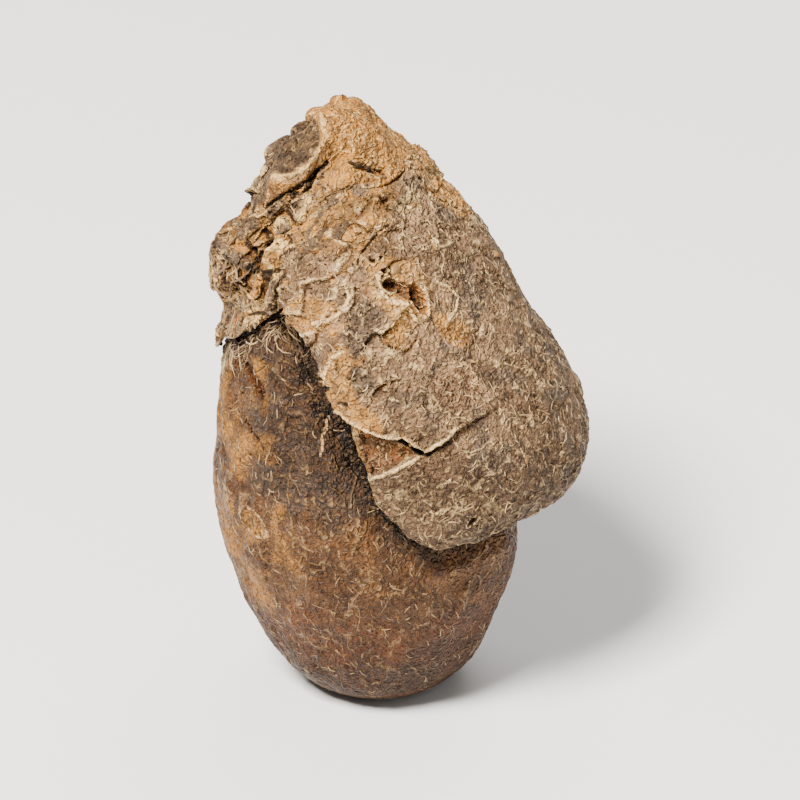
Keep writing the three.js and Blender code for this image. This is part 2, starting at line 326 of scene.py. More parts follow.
def inside_outline(plane: np.ndarray, outline: Sequence[Point]) -> np.ndarray:
    """Which places in the view lie inside a closed outline."""
    inside = np.zeros(len(plane), bool)
    x, y = plane[:, 0], plane[:, 1]
    for (x0, y0), (x1, y1) in zip(outline, [*outline[1:], outline[0]]):
        if y0 != y1:
            crosses = (y0 > y) != (y1 > y)
            inside ^= crosses & (x < (x1 - x0) * (y - y0) / (y1 - y0) + x0)
    return inside


@dataclass(frozen=True)
class Streaks:
    """How a pattern is drawn out along one way, as fibres and folds are. Lengths in mm."""

    way: np.ndarray
    width: float
    share: float  # a streak's width as a share of its length
    meander: float
    wander: float

    def lay(self, grain: Grain, points: np.ndarray) -> np.ndarray:
        """The points moved and squeezed, in units of a streak's width."""
        return squeezed(grain.warped(points, self.meander, self.wander), self.way, self.share) / self.width


@dataclass(frozen=True)
class Patchwork:
    """How a surface breaks into patches that lie along the root plate. Lengths in mm."""

    length: float
    width: float
    jump: float  # how much higher one patch may lie than another
    wander: float  # how far their borders meander

    def patches(self, grain: Grain, loose: np.ndarray) -> tuple[Cells, np.ndarray]:
        """The patches under moved points, and how far each point is from its patch's border."""
        cells = grain.cells(squeezed(loose, CRUST_ALONG, self.width / self.length) / self.width)
        return cells, cells.border * self.width / 2


@dataclass(frozen=True)
class Flaking(Patchwork):
    """How layers of dead skin break into plates that overlap like shingles."""

    tilt: float  # how far a plate rises from its foot to its free edge
    rim: float

    def lay(self, grain: Grain, points: np.ndarray) -> tuple[np.ndarray, np.ndarray, np.ndarray]:
        """Breaks the skin into plates.

        Args:
            grain: the noise to use.
            points: the points of the skin, in millimetres.

        Returns:
            The height of each point, and two masks: the rims of the plates and the feet of the steps.
        """
        loose = grain.warped(points, 1.6 * self.width, self.wander)
        loose = grain.warped(loose, 0.45 * self.width, 0.3 * self.wander)
        cells, edge = self.patches(grain, loose)
        here = self.jump * (cells.own - 0.5) - self.tilt * (cells.offset @ CRUST_UP)
        there = self.jump * (cells.other - 0.5) - self.tilt * (cells.other_offset @ CRUST_UP)
        step = here - there
        clear = 0.3 * (self.tilt + self.jump)
        rim = ease(step, 0.05, clear) * ease(edge, self.rim, 0.35 * self.rim)
        foot = ease(-step, 0.05, clear) * ease(edge, 0.9 * self.rim, 0.2 * self.rim)
        return here + 0.25 * (self.tilt + self.jump) * (0.6 * rim - foot), rim, foot


@dataclass(frozen=True)
class Blocks(Patchwork):
    """How corky crust swells into rounded blocks with clefts between them."""

    swell: float
    shoulder: float  # how wide a block's rounded edge is

    def lay(self, grain: Grain, points: np.ndarray) -> tuple[np.ndarray, np.ndarray, np.ndarray]:
        """Swells the crust.

        Args:
            grain: the noise to use.
            points: the points of the crust, in millimetres.

        Returns:
            The height of each point, how deep it lies in a cleft from 0 to 1, and its block's own tone.
        """
        cells, edge = self.patches(grain, grain.warped(points, 1.4 * self.width, self.wander))
        top = 1 - (1 - np.clip(edge / self.shoulder, 0, 1)) ** 2
        height = self.swell * (top - 0.75) + self.jump * (cells.own - 0.5) * top
        return height, ease(edge, 0.5 * self.shoulder, 0.0), cells.own


# ---------------------------------------------------------------------------------------------
# Surfaces while they are carved


def shell(part: Part) -> BVHTree:
    """A CAD node's surface, in millimetres, to measure distances to."""
    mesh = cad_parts[part.value].data
    places = [v.co / MM for v in mesh.vertices]
    return BVHTree.FromPolygons(places, [tuple(p.vertices) for p in mesh.polygons])


def linked(name: str, data: bpy.types.ID) -> bpy.types.Object:
    """A new object in the scene."""
    thing = bpy.data.objects.new(name, data)
    bpy.context.scene.collection.objects.link(thing)
    return thing


def new_piece(name: str, mesh: bpy.types.Mesh) -> bpy.types.Object:
    """Puts a mesh in the scene as a piece with smooth faces."""
    mesh.name = name
    mesh.polygons.foreach_set("use_smooth", np.ones(len(mesh.polygons), bool))
    return linked(name, mesh)


def mesh_of(build: bmesh.types.BMesh, name: str) -> bpy.types.Mesh:
    """A bmesh's shape as a new mesh. The bmesh is freed."""
    mesh = bpy.data.meshes.new(name)
    build.to_mesh(mesh)
    build.free()
    return mesh


def settled(rough: bpy.types.Object) -> bpy.types.Mesh:
    """An object's mesh with its modifiers done. The object itself is removed."""
    done = bpy.data.meshes.new_from_object(rough.evaluated_get(bpy.context.evaluated_depsgraph_get()))
    bpy.data.objects.remove(rough)
    return done


def fine_copy(part: Part, voxel: float, smoothing: int) -> bpy.types.Mesh:
    """A CAD node's shape as an even, fine mesh to carve.

    Args:
        part: which node.
        voxel: the size of the new faces, in millimetres.
        smoothing: how many times the points are smoothed, to lose the steps between voxels.

    Returns:
        The new mesh.
    """
    build = bmesh.new()
    build.from_mesh(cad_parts[part.value].data)
    bmesh.ops.remove_doubles(build, verts=build.verts, dist=1e-7)
    rough = linked("rough", mesh_of(build, "rough"))
    remesh = rough.modifiers.new("even", "REMESH")
    remesh.mode = "VOXEL"
    remesh.voxel_size = voxel * MM
    even = settled(rough)
    build = bmesh.new()
    build.from_mesh(even)
    axes = {"use_axis_x": True, "use_axis_y": True, "use_axis_z": True}
    for _ in range(smoothing):
        bmesh.ops.smooth_vert(build, verts=build.verts, factor=0.5, **axes)
    build.to_mesh(even)
    build.free()
    return even


@dataclass
class Ground:
    """A carved surface that fibres, flakes and crumbs are set on. Its points are in millimetres."""

    points: np.ndarray
    normals: np.ndarray
    seen: np.ndarray
    masks: dict[Mask, np.ndarray]
    faces: list[tuple[int, ...]]
    tree: BVHTree = field(init=False)
    lowest: float = 0.5  # nothing is set below this height, where the bulb stands

    def __post_init__(self) -> None:
        """Readies the surface for searches."""
        self.tree = BVHTree.FromPolygons([Vector(p) for p in self.points], self.faces)

    def pick(self, draw: np.random.Generator, weights: np.ndarray, count: int) -> np.ndarray:
        """Picks points at random.

        Args:
            draw: the source of chance.
            weights: how likely each point is.
            count: how many are picked.

        Returns:
            The numbers of the points.
        """
        chance = np.clip(weights, 0, None) * self.seen * (self.points[:, 2] > self.lowest)
        return draw.choice(len(chance), size=count, replace=False, p=chance / chance.sum())

    def down(self, i: int) -> np.ndarray:
        """The direction along the surface at a point that runs down the bulb."""
        normal = self.normals[i]
        slope = np.array([0, 0, -1.0]) + normal[2] * normal
        size = np.linalg.norm(slope)
        return slope / size if size > 1e-3 else unit(np.cross(normal, (0, 1, 0.1)))

    def nearest(self, place: np.ndarray) -> np.ndarray:
        """The surface's nearest point."""
        return np.array(self.tree.find_nearest(Vector(place))[0])


class Relief:
    """A surface while it is carved: its points, how far each is pushed out, and what is painted."""

    FAR = 100  # millimetres from the bulb, in front of all of it
    THIN_FIRST = 50  # how much sooner hidden faces are thinned out than the others

    def __init__(self, mesh: bpy.types.Mesh) -> None:
        """Reads the mesh's points and their outward directions, in millimetres."""
        self.mesh = mesh
        count = len(mesh.vertices)
        places, outward = np.empty(count * 3), np.empty(count * 3)
        mesh.vertices.foreach_get("co", places)
        mesh.vertices.foreach_get("normal", outward)
        self.points = places.reshape(-1, 3) / MM
        self.normals = outward.reshape(-1, 3)
        self.plane = VIEW.place(self.points)
        self.facing = ease(self.normals @ VIEW.toward, 0.0, 0.25)
        self.push = np.zeros(count)
        self.masks = {mask: np.zeros(count) for mask in Mask}
        self.faces = [tuple(p.vertices) for p in mesh.polygons]
        self.tree = BVHTree.FromPolygons([Vector(p) for p in self.points], self.faces)
        self.rough = Grain(ROUGH_SEED).smooth(self.points / 0.55)

    def paint(self, mask: Mask, *amounts: np.ndarray) -> None:
        """Adds to a mask wherever one of the amounts is more than what is there."""
        self.masks[mask] = np.maximum.reduce([self.masks[mask], *(np.clip(a, 0, 1) for a in amounts)])

    def patch(
        self, *ovals: Oval, outer: float = 1.1, inner: float = 0.7, ragged: np.ndarray | float = 0.0
    ) -> np.ndarray:
        """A patch on the front, made of ovals: 0 beyond their outer share and 1 within the inner one."""
        share = np.min([oval.share(self.plane) for oval in ovals], axis=0)
        return self.facing * ease(share + ragged, outer, inner)

    def toward(self, low: float, high: float) -> np.ndarray:
        """How far each point faces the viewer, eased from 0 at low to 1 at high."""
        return ease(self.normals @ VIEW.toward, low, high)

    def gap_to(self, tree: BVHTree, cap: float) -> np.ndarray:
        """How far each point is from another surface, up to a cap."""
        gaps = (tree.find_nearest(Vector(p), cap)[3] for p in self.points)
        return np.array([cap if gap is None else gap for gap in gaps])

    def drop(self, spots: Sequence[Point]) -> np.ndarray:
        """The points of the surface that are seen at spots in the front view. Spots off it are left out."""
        start = VIEW.lift(spots) + self.FAR * VIEW.toward
        way = Vector(-VIEW.toward)
        found = (self.tree.ray_cast(Vector(p), way)[0] for p in start)
        return np.array([hit for hit in found if hit is not None]).reshape(-1, 3)

    def away_from(self, line: Line, cap: float) -> np.ndarray:
        """How far each point is from a line on the surface, up to a cap."""
        targets = self.drop(line.dense())
        away = np.full(len(self.points), cap)
        if len(targets) == 0:
            return away
        tree = KDTree(len(targets))
        for i, target in enumerate(targets):
            tree.insert(target, i)
        tree.balance()
        low, high = targets.min(0) - cap, targets.max(0) + cap
        close = np.where(((self.points > low) & (self.points < high)).all(1))[0]
        away[close] = [min(cap, tree.find(self.points[i])[2]) for i in close]
        return away

    def score(self, line: Line, dark: float = 1.0, brink: float = 0.35, pale: float = 0.5) -> None:
        """Cuts an uneven crack along a line, with raised brinks.

        Args:
            line: where it runs, how wide and how deep it is.
            dark: how dark it is inside.
            brink: how high the brinks stand, as a share of its depth.
            pale: how pale the brinks are.
        """
        width = line.half_width
        away = self.away_from(line, 5 * width) + min(0.6 * width, 0.12) * self.rough
        self.push -= line.depth * ease(away, width, 0.3 * width)
        # painted shade inside the crack
        self.paint(Mask.SHADE_AND_SOIL, dark * ease(away, 1.15 * width, 0.5 * width))
        lip = bell(away, 1.8 * width, 0.6 * width)
        self.push += brink * line.depth * lip * ease(self.rough, -0.6, 0.4)
        # pale brinks, partly painted highlight
        self.paint(Mask.CREAM, pale * lip * ease(self.rough, -0.5, 0.3))
        self.paint(Mask.GOLD, pale * ease(away, 4 * width, 2 * width))

    def rib(self, line: Line) -> np.ndarray:
        """Raises a rounded rib along a line, and gives back how far up it each point is, from 0 to 1."""
        away = self.away_from(line, 2 * line.half_width) + 0.15 * line.half_width * self.rough
        share = np.clip(1 - (away / line.half_width) ** 2, 0, 1) ** 0.7
        self.push += line.depth * share
        return share

    def sink(self, hole: Oval, dark: float = 0.8) -> None:
        """Sinks a pit with a pale curled rim and painted shade inside."""
        share = hole.share(self.plane) + 0.15 * self.rough
        self.push -= self.facing * hole.depth * ease(share, 1.05, 0.6)
        brink = self.facing * bell(share, 1.15, 0.14)
        self.push += 0.3 * hole.depth * brink
        self.paint(Mask.CREAM, 0.9 * brink * ease(self.rough, -0.7, 0.2))
        # painted shade inside the pit
        self.paint(Mask.SHADE_AND_SOIL, dark * self.facing * ease(share, 1.0, 0.6))

    def finish(self, name: str, hidden: np.ndarray, keep: float) -> tuple[bpy.types.Object, Ground]:
        """Moves the points by what was pushed, stores the masks and thins the mesh, hidden faces first.

        Args:
            name: the new piece's name.
            hidden: which points lie out of sight against another piece.
            keep: the share of all the faces that is kept.

        Returns:
            The piece, and the carved surface to set small things on.
        """
        moved = self.points + self.push[:, None] * self.normals
        self.mesh.vertices.foreach_set("co", (moved * MM).ravel())
        for mask, values in self.masks.items():
            layer = self.mesh.attributes.new(mask.value, "FLOAT", "POINT")
            layer.data.foreach_set("value", values.astype(np.float32))
        self.mesh.update()
        rough = linked("rough", self.mesh)
        group = rough.vertex_groups.new(name="hidden")
        group.add(np.where(hidden)[0].tolist(), 1.0, "REPLACE")
        thin = rough.modifiers.new("thin", "DECIMATE")
        thin.ratio = keep
        thin.vertex_group = group.name
        thin.vertex_group_factor = self.THIN_FIRST
        return new_piece(name, settled(rough)), Ground(moved, self.normals, ~hidden, self.masks, self.faces)


# ---------------------------------------------------------------------------------------------
# Materials


@dataclass(frozen=True)
class Finish:
    """The colours and the roughness of dried plant skin, some of them also painted shade, sheen and
    highlight, and how strong its fine patterns are.
    """

    name: str
    base: Colour
    light: Colour
    # painted shade, and darker soaked skin
    deep: Colour
    # weathered grey, also a painted sheen
    grey: Colour
    gold: Colour
    rust: Colour
    # pale fibres and torn edges, also painted highlight
    cream: Colour
    # painted shade in cracks and gaps, and soil
    shade_and_soil: Colour
    curl_size: float  # millimetres between bunches of fine curls
    curls: float  # how clearly they show
    roughness: float
    relief: float  # millimetres of the finest bump
    curl_stretch: float = 1.0  # how much longer the curls are upwards than across
    gloss: float = 0.20


INNER_FINISH = Finish(
    name="inner_flesh",
    base=(0.068, 0.0255, 0.0066),
    light=(0.150, 0.062, 0.0170),
    deep=(0.016, 0.0065, 0.0024),
    grey=(0.058, 0.043, 0.033),
    gold=(0.38, 0.160, 0.026),
    rust=(0.098, 0.025, 0.0030),
    cream=(0.52, 0.31, 0.13),
    shade_and_soil=(0.007, 0.004, 0.002),
    curl_size=1.6,
    curl_stretch=1.6,
    curls=0.26,
    roughness=0.46,
    relief=0.28,
)
OUTER_FINISH = Finish(
    name="outer_skin",
    base=(0.145, 0.080, 0.037),
    light=(0.30, 0.172, 0.086),
    deep=(0.036, 0.018, 0.008),
    grey=(0.094, 0.068, 0.047),
    gold=(0.48, 0.208, 0.032),
    rust=(0.24, 0.075, 0.011),
    cream=(0.80, 0.54, 0.24),
    shade_and_soil=(0.009, 0.005, 0.002),
    curl_size=1.7,
    curls=0.50,
    roughness=0.58,
    relief=0.26,
)
PLATE_FINISH = Finish(
    name="root_crust",
    base=(0.150, 0.080, 0.034),
    light=(0.26, 0.148, 0.062),
    deep=(0.036, 0.016, 0.005),
    grey=(0.088, 0.062, 0.042),
    gold=(0.45, 0.182, 0.024),
    rust=(0.32, 0.095, 0.009),
    cream=(0.76, 0.48, 0.18),
    shade_and_soil=(0.009, 0.004, 0.0015),
    curl_size=1.5,
    curls=0.40,
    roughness=0.66,
    relief=0.22,
)


@dataclass(frozen=True)
class ChipFinish:
    """The colours of small loose things. Each thing's own tone is between dark and pale."""

    name: str
    dark: Colour
    pale: Colour
    roughness: float


FIBRE_FINISH = ChipFinish("dry_fibre", (0.09, 0.048, 0.022), (0.58, 0.40, 0.20), 0.5)
FLAKE_FINISH = ChipFinish("skin_flake", (0.13, 0.066, 0.025), (0.50, 0.28, 0.09), 0.75)
CRUMB_FINISH = ChipFinish("crumb", (0.028, 0.014, 0.006), (0.30, 0.155, 0.050), 0.9)


class Nodes:
    """A short way to add and join shader nodes in one tree."""

    def __init__(self, tree: bpy.types.NodeTree) -> None:
        """Works on a material's tree or a group's."""
        self.tree = tree

    def feed(self, socket: bpy.types.NodeSocket, value: object) -> None:
        """Links an output socket to an input, or sets the input to a plain value."""
        if isinstance(value, bpy.types.NodeSocket):
            self.tree.links.new(value, socket)
        else:
            socket.default_value = value

    def add(
        self, kind: str, links: dict[str | int, object] | None = None, **settings: object
    ) -> bpy.types.Node:
        """Adds a node.

        Args:
            kind: the node's type without its ShaderNode prefix.
            links: for each input, the output socket that feeds it, or the value it is set to.
            **settings: the node's own properties.

        Returns:
            The node.
        """
        node = self.tree.nodes.new("ShaderNode" + kind)
        for name, value in settings.items():
            setattr(node, name, value)
        for name, value in (links or {}).items():
            self.feed(node.inputs[name], value)
        return node

    def maths(self, operation: str, *values: object) -> bpy.types.NodeSocket:
        """A Math node's result on up to three numbers or sockets."""
        return self.add("Math", dict(enumerate(values)), operation=operation).outputs[0]

    def step(self, value: bpy.types.NodeSocket, low: float, high: float) -> bpy.types.NodeSocket:
        """A smooth step from 0 at low to 1 at high."""
        links = {"Value": value, "From Min": low, "From Max": high}
        return self.add("MapRange", links, interpolation_type="SMOOTHSTEP").outputs[0]

    def mix(self, share: object, first: object, second: object) -> bpy.types.NodeSocket:
        """Two colours mixed. The share is 0 for the first and 1 for the second."""
        colours = [(*value, 1) if isinstance(value, tuple) else value for value in (first, second)]
        return self.add("Mix", {0: share, 6: colours[0], 7: colours[1]}, data_type="RGBA").outputs[2]

    def noise(self, place: bpy.types.NodeSocket, scale: float, detail: float = 2.0) -> bpy.types.NodeSocket:
        """A noise texture's value."""
        links = {"Vector": place, "Scale": scale, "Detail": detail, "Roughness": 0.55}
        return self.add("TexNoise", links).outputs[0]

    def scaled(self, vector: bpy.types.NodeSocket, factor: object) -> bpy.types.NodeSocket:
        """A vector times a number or a socket."""
        return self.add("VectorMath", {0: vector, "Scale": factor}, operation="SCALE").outputs[0]

    def bent(self, place: bpy.types.NodeSocket, scale: float, reach: float) -> bpy.types.NodeSocket:
        """A place moved about by noise."""
        colours = self.add("TexNoise", {"Vector": place, "Scale": scale, "Detail": 1.0}).outputs["Color"]
        return self.add("VectorMath", {0: place, 1: self.scaled(colours, reach)}, operation="ADD").outputs[0]

    def group(self, tree: bpy.types.NodeTree, **links: object) -> bpy.types.Node:
        """Places a node group."""
        node = self.add("Group", node_tree=tree)
        for name, value in links.items():
            self.feed(node.inputs[name], value)
        return node


class PatternGroup(Nodes):
    """A shader node group while it is made. It takes a Vector, and a Scale if it has one size of pattern."""

    def __init__(self, name: str, outputs: Sequence[str], scaled: bool = True) -> None:
        """Makes its sockets.

        Args:
            name: the group's name.
            outputs: the names of its outputs, which are all values.
            scaled: whether it takes a Scale.
        """
        super().__init__(bpy.data.node_groups.new(name, "ShaderNodeTree"))
        sockets = [("Vector", "INPUT", "NodeSocketVector")]
        sockets += [("Scale", "INPUT", "NodeSocketFloat")] if scaled else []
        sockets += [(output, "OUTPUT", "NodeSocketFloat") for output in outputs]
        for socket, way, kind in sockets:
            self.tree.interface.new_socket(name=socket, in_out=way, socket_type=kind)
        given = self.tree.nodes.new("NodeGroupInput").outputs
        self.out = self.tree.nodes.new("NodeGroupOutput").inputs
        self.place = self.scaled(given["Vector"], given["Scale"]) if scaled else given["Vector"]


def new_material(name: str) -> tuple[bpy.types.Material, Nodes, bpy.types.NodeInputs]:
    """A material, its nodes, and the inputs of its Principled BSDF."""
    material = bpy.data.materials.new(name)
    material.use_nodes = True
    return material, Nodes(material.node_tree), material.node_tree.nodes["Principled BSDF"].inputs


class SkinPatterns:
    """The fine patterns that all the dried skins share, as shader node groups, and the materials.

    Sizes in mm. A mottle has its size and the noise values between which its blotches fade in.
    """

    MOTTLES = {"Large": (4.5, 0.40, 0.62), "Small": (1.3, 0.42, 0.62), "Fine": (0.4, 0.42, 0.64)}
    GRAIN_SIZE = 0.42
    PORE_SIZE = 0.36
    SPECKLE_SIZE = 0.22
    CHIP_SPECKLE_SIZE = 0.15
    CHIP_RELIEF = 0.04

    def __init__(self) -> None:
        """Builds each group once."""
        self.curls = self._curls()
        self.mottle = self._mottle()
        self.grains = self._grains()
        self.pores = self._pores()

    def _curls(self) -> bpy.types.NodeTree:
        """Short, fine, winding ridges, as dried fibres stand out of the skin."""
        group = PatternGroup("fibre curls", ("Mask", "Height"))
        place = group.bent(group.place, 1.3, 0.5)
        rings = group.maths("PINGPONG", group.maths("MULTIPLY", group.noise(place, 1.0, 0.0), 3.2), 0.5)
        others = group.maths("PINGPONG", group.maths("MULTIPLY", group.noise(place, 1.8, 0.0), 2.2), 0.5)
        pick = group.noise(place, 1.9, 1.0)
        first = group.maths("MULTIPLY", group.step(rings, 0.33, 0.48), group.step(pick, 0.48, 0.54))
        second = group.maths("MULTIPLY", group.step(others, 0.35, 0.49), group.step(pick, 0.51, 0.45))
        mask = group.maths("MAXIMUM", first, second)
        group.feed(group.out["Mask"], mask)
        group.feed(group.out["Height"], group.maths("ADD", mask, group.noise(place, 2.4, 2.0)))
        return group.tree

    def _mottle(self) -> bpy.types.NodeTree:
        """Soft blotches in three sizes."""
        group = PatternGroup("mottle", tuple(self.MOTTLES), scaled=False)
        for name, (size, low, high) in self.MOTTLES.items():
            noise = group.noise(group.place, 1 / (size * MM), 3.0)
            group.feed(group.out[name], group.step(noise, low, high))
        return group.tree

    def _grains(self) -> bpy.types.NodeTree:
        """Small close lumps with gaps between them."""
        group = PatternGroup("grains", ("Gap", "Height"))
        place = group.bent(group.place, 0.8, 1.1)
        cells = group.add("TexVoronoi", {"Vector": place, "Scale": 1.0}, feature="DISTANCE_TO_EDGE")
        edges = cells.outputs["Distance"]
        patchy = group.step(group.noise(place, 0.45, 1.0), 0.4, 0.56)
        group.feed(group.out["Gap"], group.maths("MULTIPLY", group.step(edges, 0.16, 0.02), patchy))
        group.feed(group.out["Height"], group.step(edges, 0.0, 0.32))
        return group.tree

    def _pores(self) -> bpy.types.NodeTree:
        """Tiny dark pits."""
        group = PatternGroup("pores", ("Mask",))
        cells = group.add("TexVoronoi", {"Vector": group.place, "Scale": 1.0})
        spots = group.step(cells.outputs["Distance"], 0.3, 0.14)
        picked = group.step(group.noise(group.place, 0.35, 1.0), 0.48, 0.58)
        group.feed(group.out["Mask"], group.maths("MULTIPLY", spots, picked))
        return group.tree

    def _painted(self, nodes: Nodes, mask: Mask, speckle: bpy.types.NodeSocket) -> bpy.types.NodeSocket:
        """A painted mask with its borders made ragged by a speckle."""
        painted = nodes.add("Attribute", attribute_name=mask.value).outputs["Fac"]
        ragged = nodes.maths("MULTIPLY_ADD", nodes.maths("SUBTRACT", speckle, 0.5), 1.1, painted)
        return nodes.maths("MULTIPLY", nodes.step(ragged, 0.12, 0.72), nodes.step(painted, 0.0, 0.3))

    def dress(self, finish: Finish) -> bpy.types.Material:
        """Makes the material of a piece that has all the masks.

        Args:
            finish: its colours and strengths.

        Returns:
            The material.
        """
        material, nodes, shader = new_material(finish.name)
        place = nodes.add("TexCoord").outputs["Object"]
        stretch = nodes.add("Mapping", {"Vector": place, "Scale": (1, 1, 1 / finish.curl_stretch)}).outputs[0]
        curls = nodes.group(self.curls, Vector=stretch, Scale=1 / (finish.curl_size * MM)).outputs
        mottle = nodes.group(self.mottle, Vector=place).outputs
        grains = nodes.group(self.grains, Vector=place, Scale=1 / (self.GRAIN_SIZE * MM)).outputs
        pores = nodes.group(self.pores, Vector=place, Scale=1 / (self.PORE_SIZE * MM)).outputs
        speckle = nodes.noise(place, 1 / (self.SPECKLE_SIZE * MM), 2.0)
        masks = {mask: self._painted(nodes, mask, speckle) for mask in Mask}
        # The curls' pale paint, partly painted highlight, is weakened under painted shade and on golden
        # crust.
        bright = nodes.maths("MULTIPLY_ADD", masks[Mask.SHADE_AND_SOAK], -0.5, 1.0)
        bright = nodes.maths("MULTIPLY_ADD", masks[Mask.GOLD], -0.4, bright)
        bright = nodes.maths("MULTIPLY", nodes.maths("MAXIMUM", bright, 0.0), finish.curls)
        # The grey coat is partly a painted sheen, the deep coat and the darkest coat are partly painted
        # shade, and the pale curls and cream coat are partly painted highlight.
        coats = (
            (masks[Mask.GREY], 0.85, finish.grey),
            (masks[Mask.GOLD], 0.85, finish.gold),
            (masks[Mask.RUST], 0.85, finish.rust),
            (mottle["Small"], 0.55, finish.deep),
            (masks[Mask.SHADE_AND_SOAK], 0.7, finish.deep),
            (mottle["Fine"], 0.3, finish.light),
            (grains["Gap"], 0.4, finish.deep),
            (curls["Mask"], bright, finish.cream),
            (masks[Mask.CREAM], 0.8, finish.cream),
            (pores["Mask"], 0.75, finish.shade_and_soil),
            (masks[Mask.SHADE_AND_SOIL], 0.93, finish.shade_and_soil),
        )
        colour = nodes.mix(mottle["Large"], finish.base, finish.light)
        for cover, strength, tint in coats:
            colour = nodes.mix(nodes.maths("MULTIPLY", cover, strength), colour, tint)
        nodes.feed(shader["Base Color"], colour)
        rough = nodes.maths("MULTIPLY_ADD", speckle, 0.25, finish.roughness - 0.1)
        nodes.feed(shader["Roughness"], nodes.maths("MULTIPLY_ADD", curls["Mask"], -0.18, rough))
        height = curls["Height"]
        for lump, share in ((grains["Height"], 0.7), (speckle, 0.5), (pores["Mask"], -0.8)):
            height = nodes.maths("MULTIPLY_ADD", lump, share, height)
        relief = nodes.add("Bump", {"Height": height, "Distance": finish.relief * MM, "Strength": 0.9})
        nodes.feed(shader["Normal"], relief.outputs["Normal"])
        shader["Specular IOR Level"].default_value = finish.gloss
        return material

    def dress_chips(self, finish: ChipFinish) -> bpy.types.Material:
        """Makes the material of small loose things.

        Args:
            finish: its colours and roughness.

        Returns:
            The material.
        """
        material, nodes, shader = new_material(finish.name)
        place = nodes.add("TexCoord").outputs["Object"]
        tone = nodes.add("Attribute", attribute_name="tone").outputs["Fac"]
        speckle = nodes.noise(place, 1 / (self.CHIP_SPECKLE_SIZE * MM), 2.0)
        tone = nodes.maths("MULTIPLY_ADD", nodes.maths("SUBTRACT", speckle, 0.5), 0.7, tone)
        nodes.feed(shader["Base Color"], nodes.mix(tone, finish.dark, finish.pale))
        relief = nodes.add("Bump", {"Height": speckle, "Distance": self.CHIP_RELIEF * MM, "Strength": 0.8})
        nodes.feed(shader["Normal"], relief.outputs["Normal"])
        shader["Roughness"].default_value = finish.roughness
        shader["Specular IOR Level"].default_value = 0.3
        return material


# ---------------------------------------------------------------------------------------------
# The three carved pieces


@dataclass
class Carving:
    """A piece that is carved from a fine copy of its CAD solid, and painted. Lengths in mm."""

    part: Part
    finish: Finish
    name: str
    seed: int
    voxel: float
    keep: float  # the share of the faces that is kept
    reach: float  # how far off the other pieces are still measured
    touching: tuple[tuple[Part, float], ...]  # the others, and how near them a point is out of sight
    smoothing: int = 6

    def build(self) -> bpy.types.Object:
        """Carves and paints the piece, and keeps its surface to set small things on.

        Returns:
            The piece.
        """
        relief = Relief(fine_copy(self.part, self.voxel, self.smoothing))
        self.gaps = {other: relief.gap_to(shell(other), self.reach) for other, _ in self.touching}
        self.gap = np.minimum.reduce(list(self.gaps.values()))
        self._carve(relief, Grain(self.seed))
        self._paint(relief, Grain(self.seed + 1))
        hidden = np.logical_or.reduce([self.gaps[other] < near for other, near in self.touching])
        piece, self.ground = relief.finish(self.name, hidden, self.keep)
        return piece


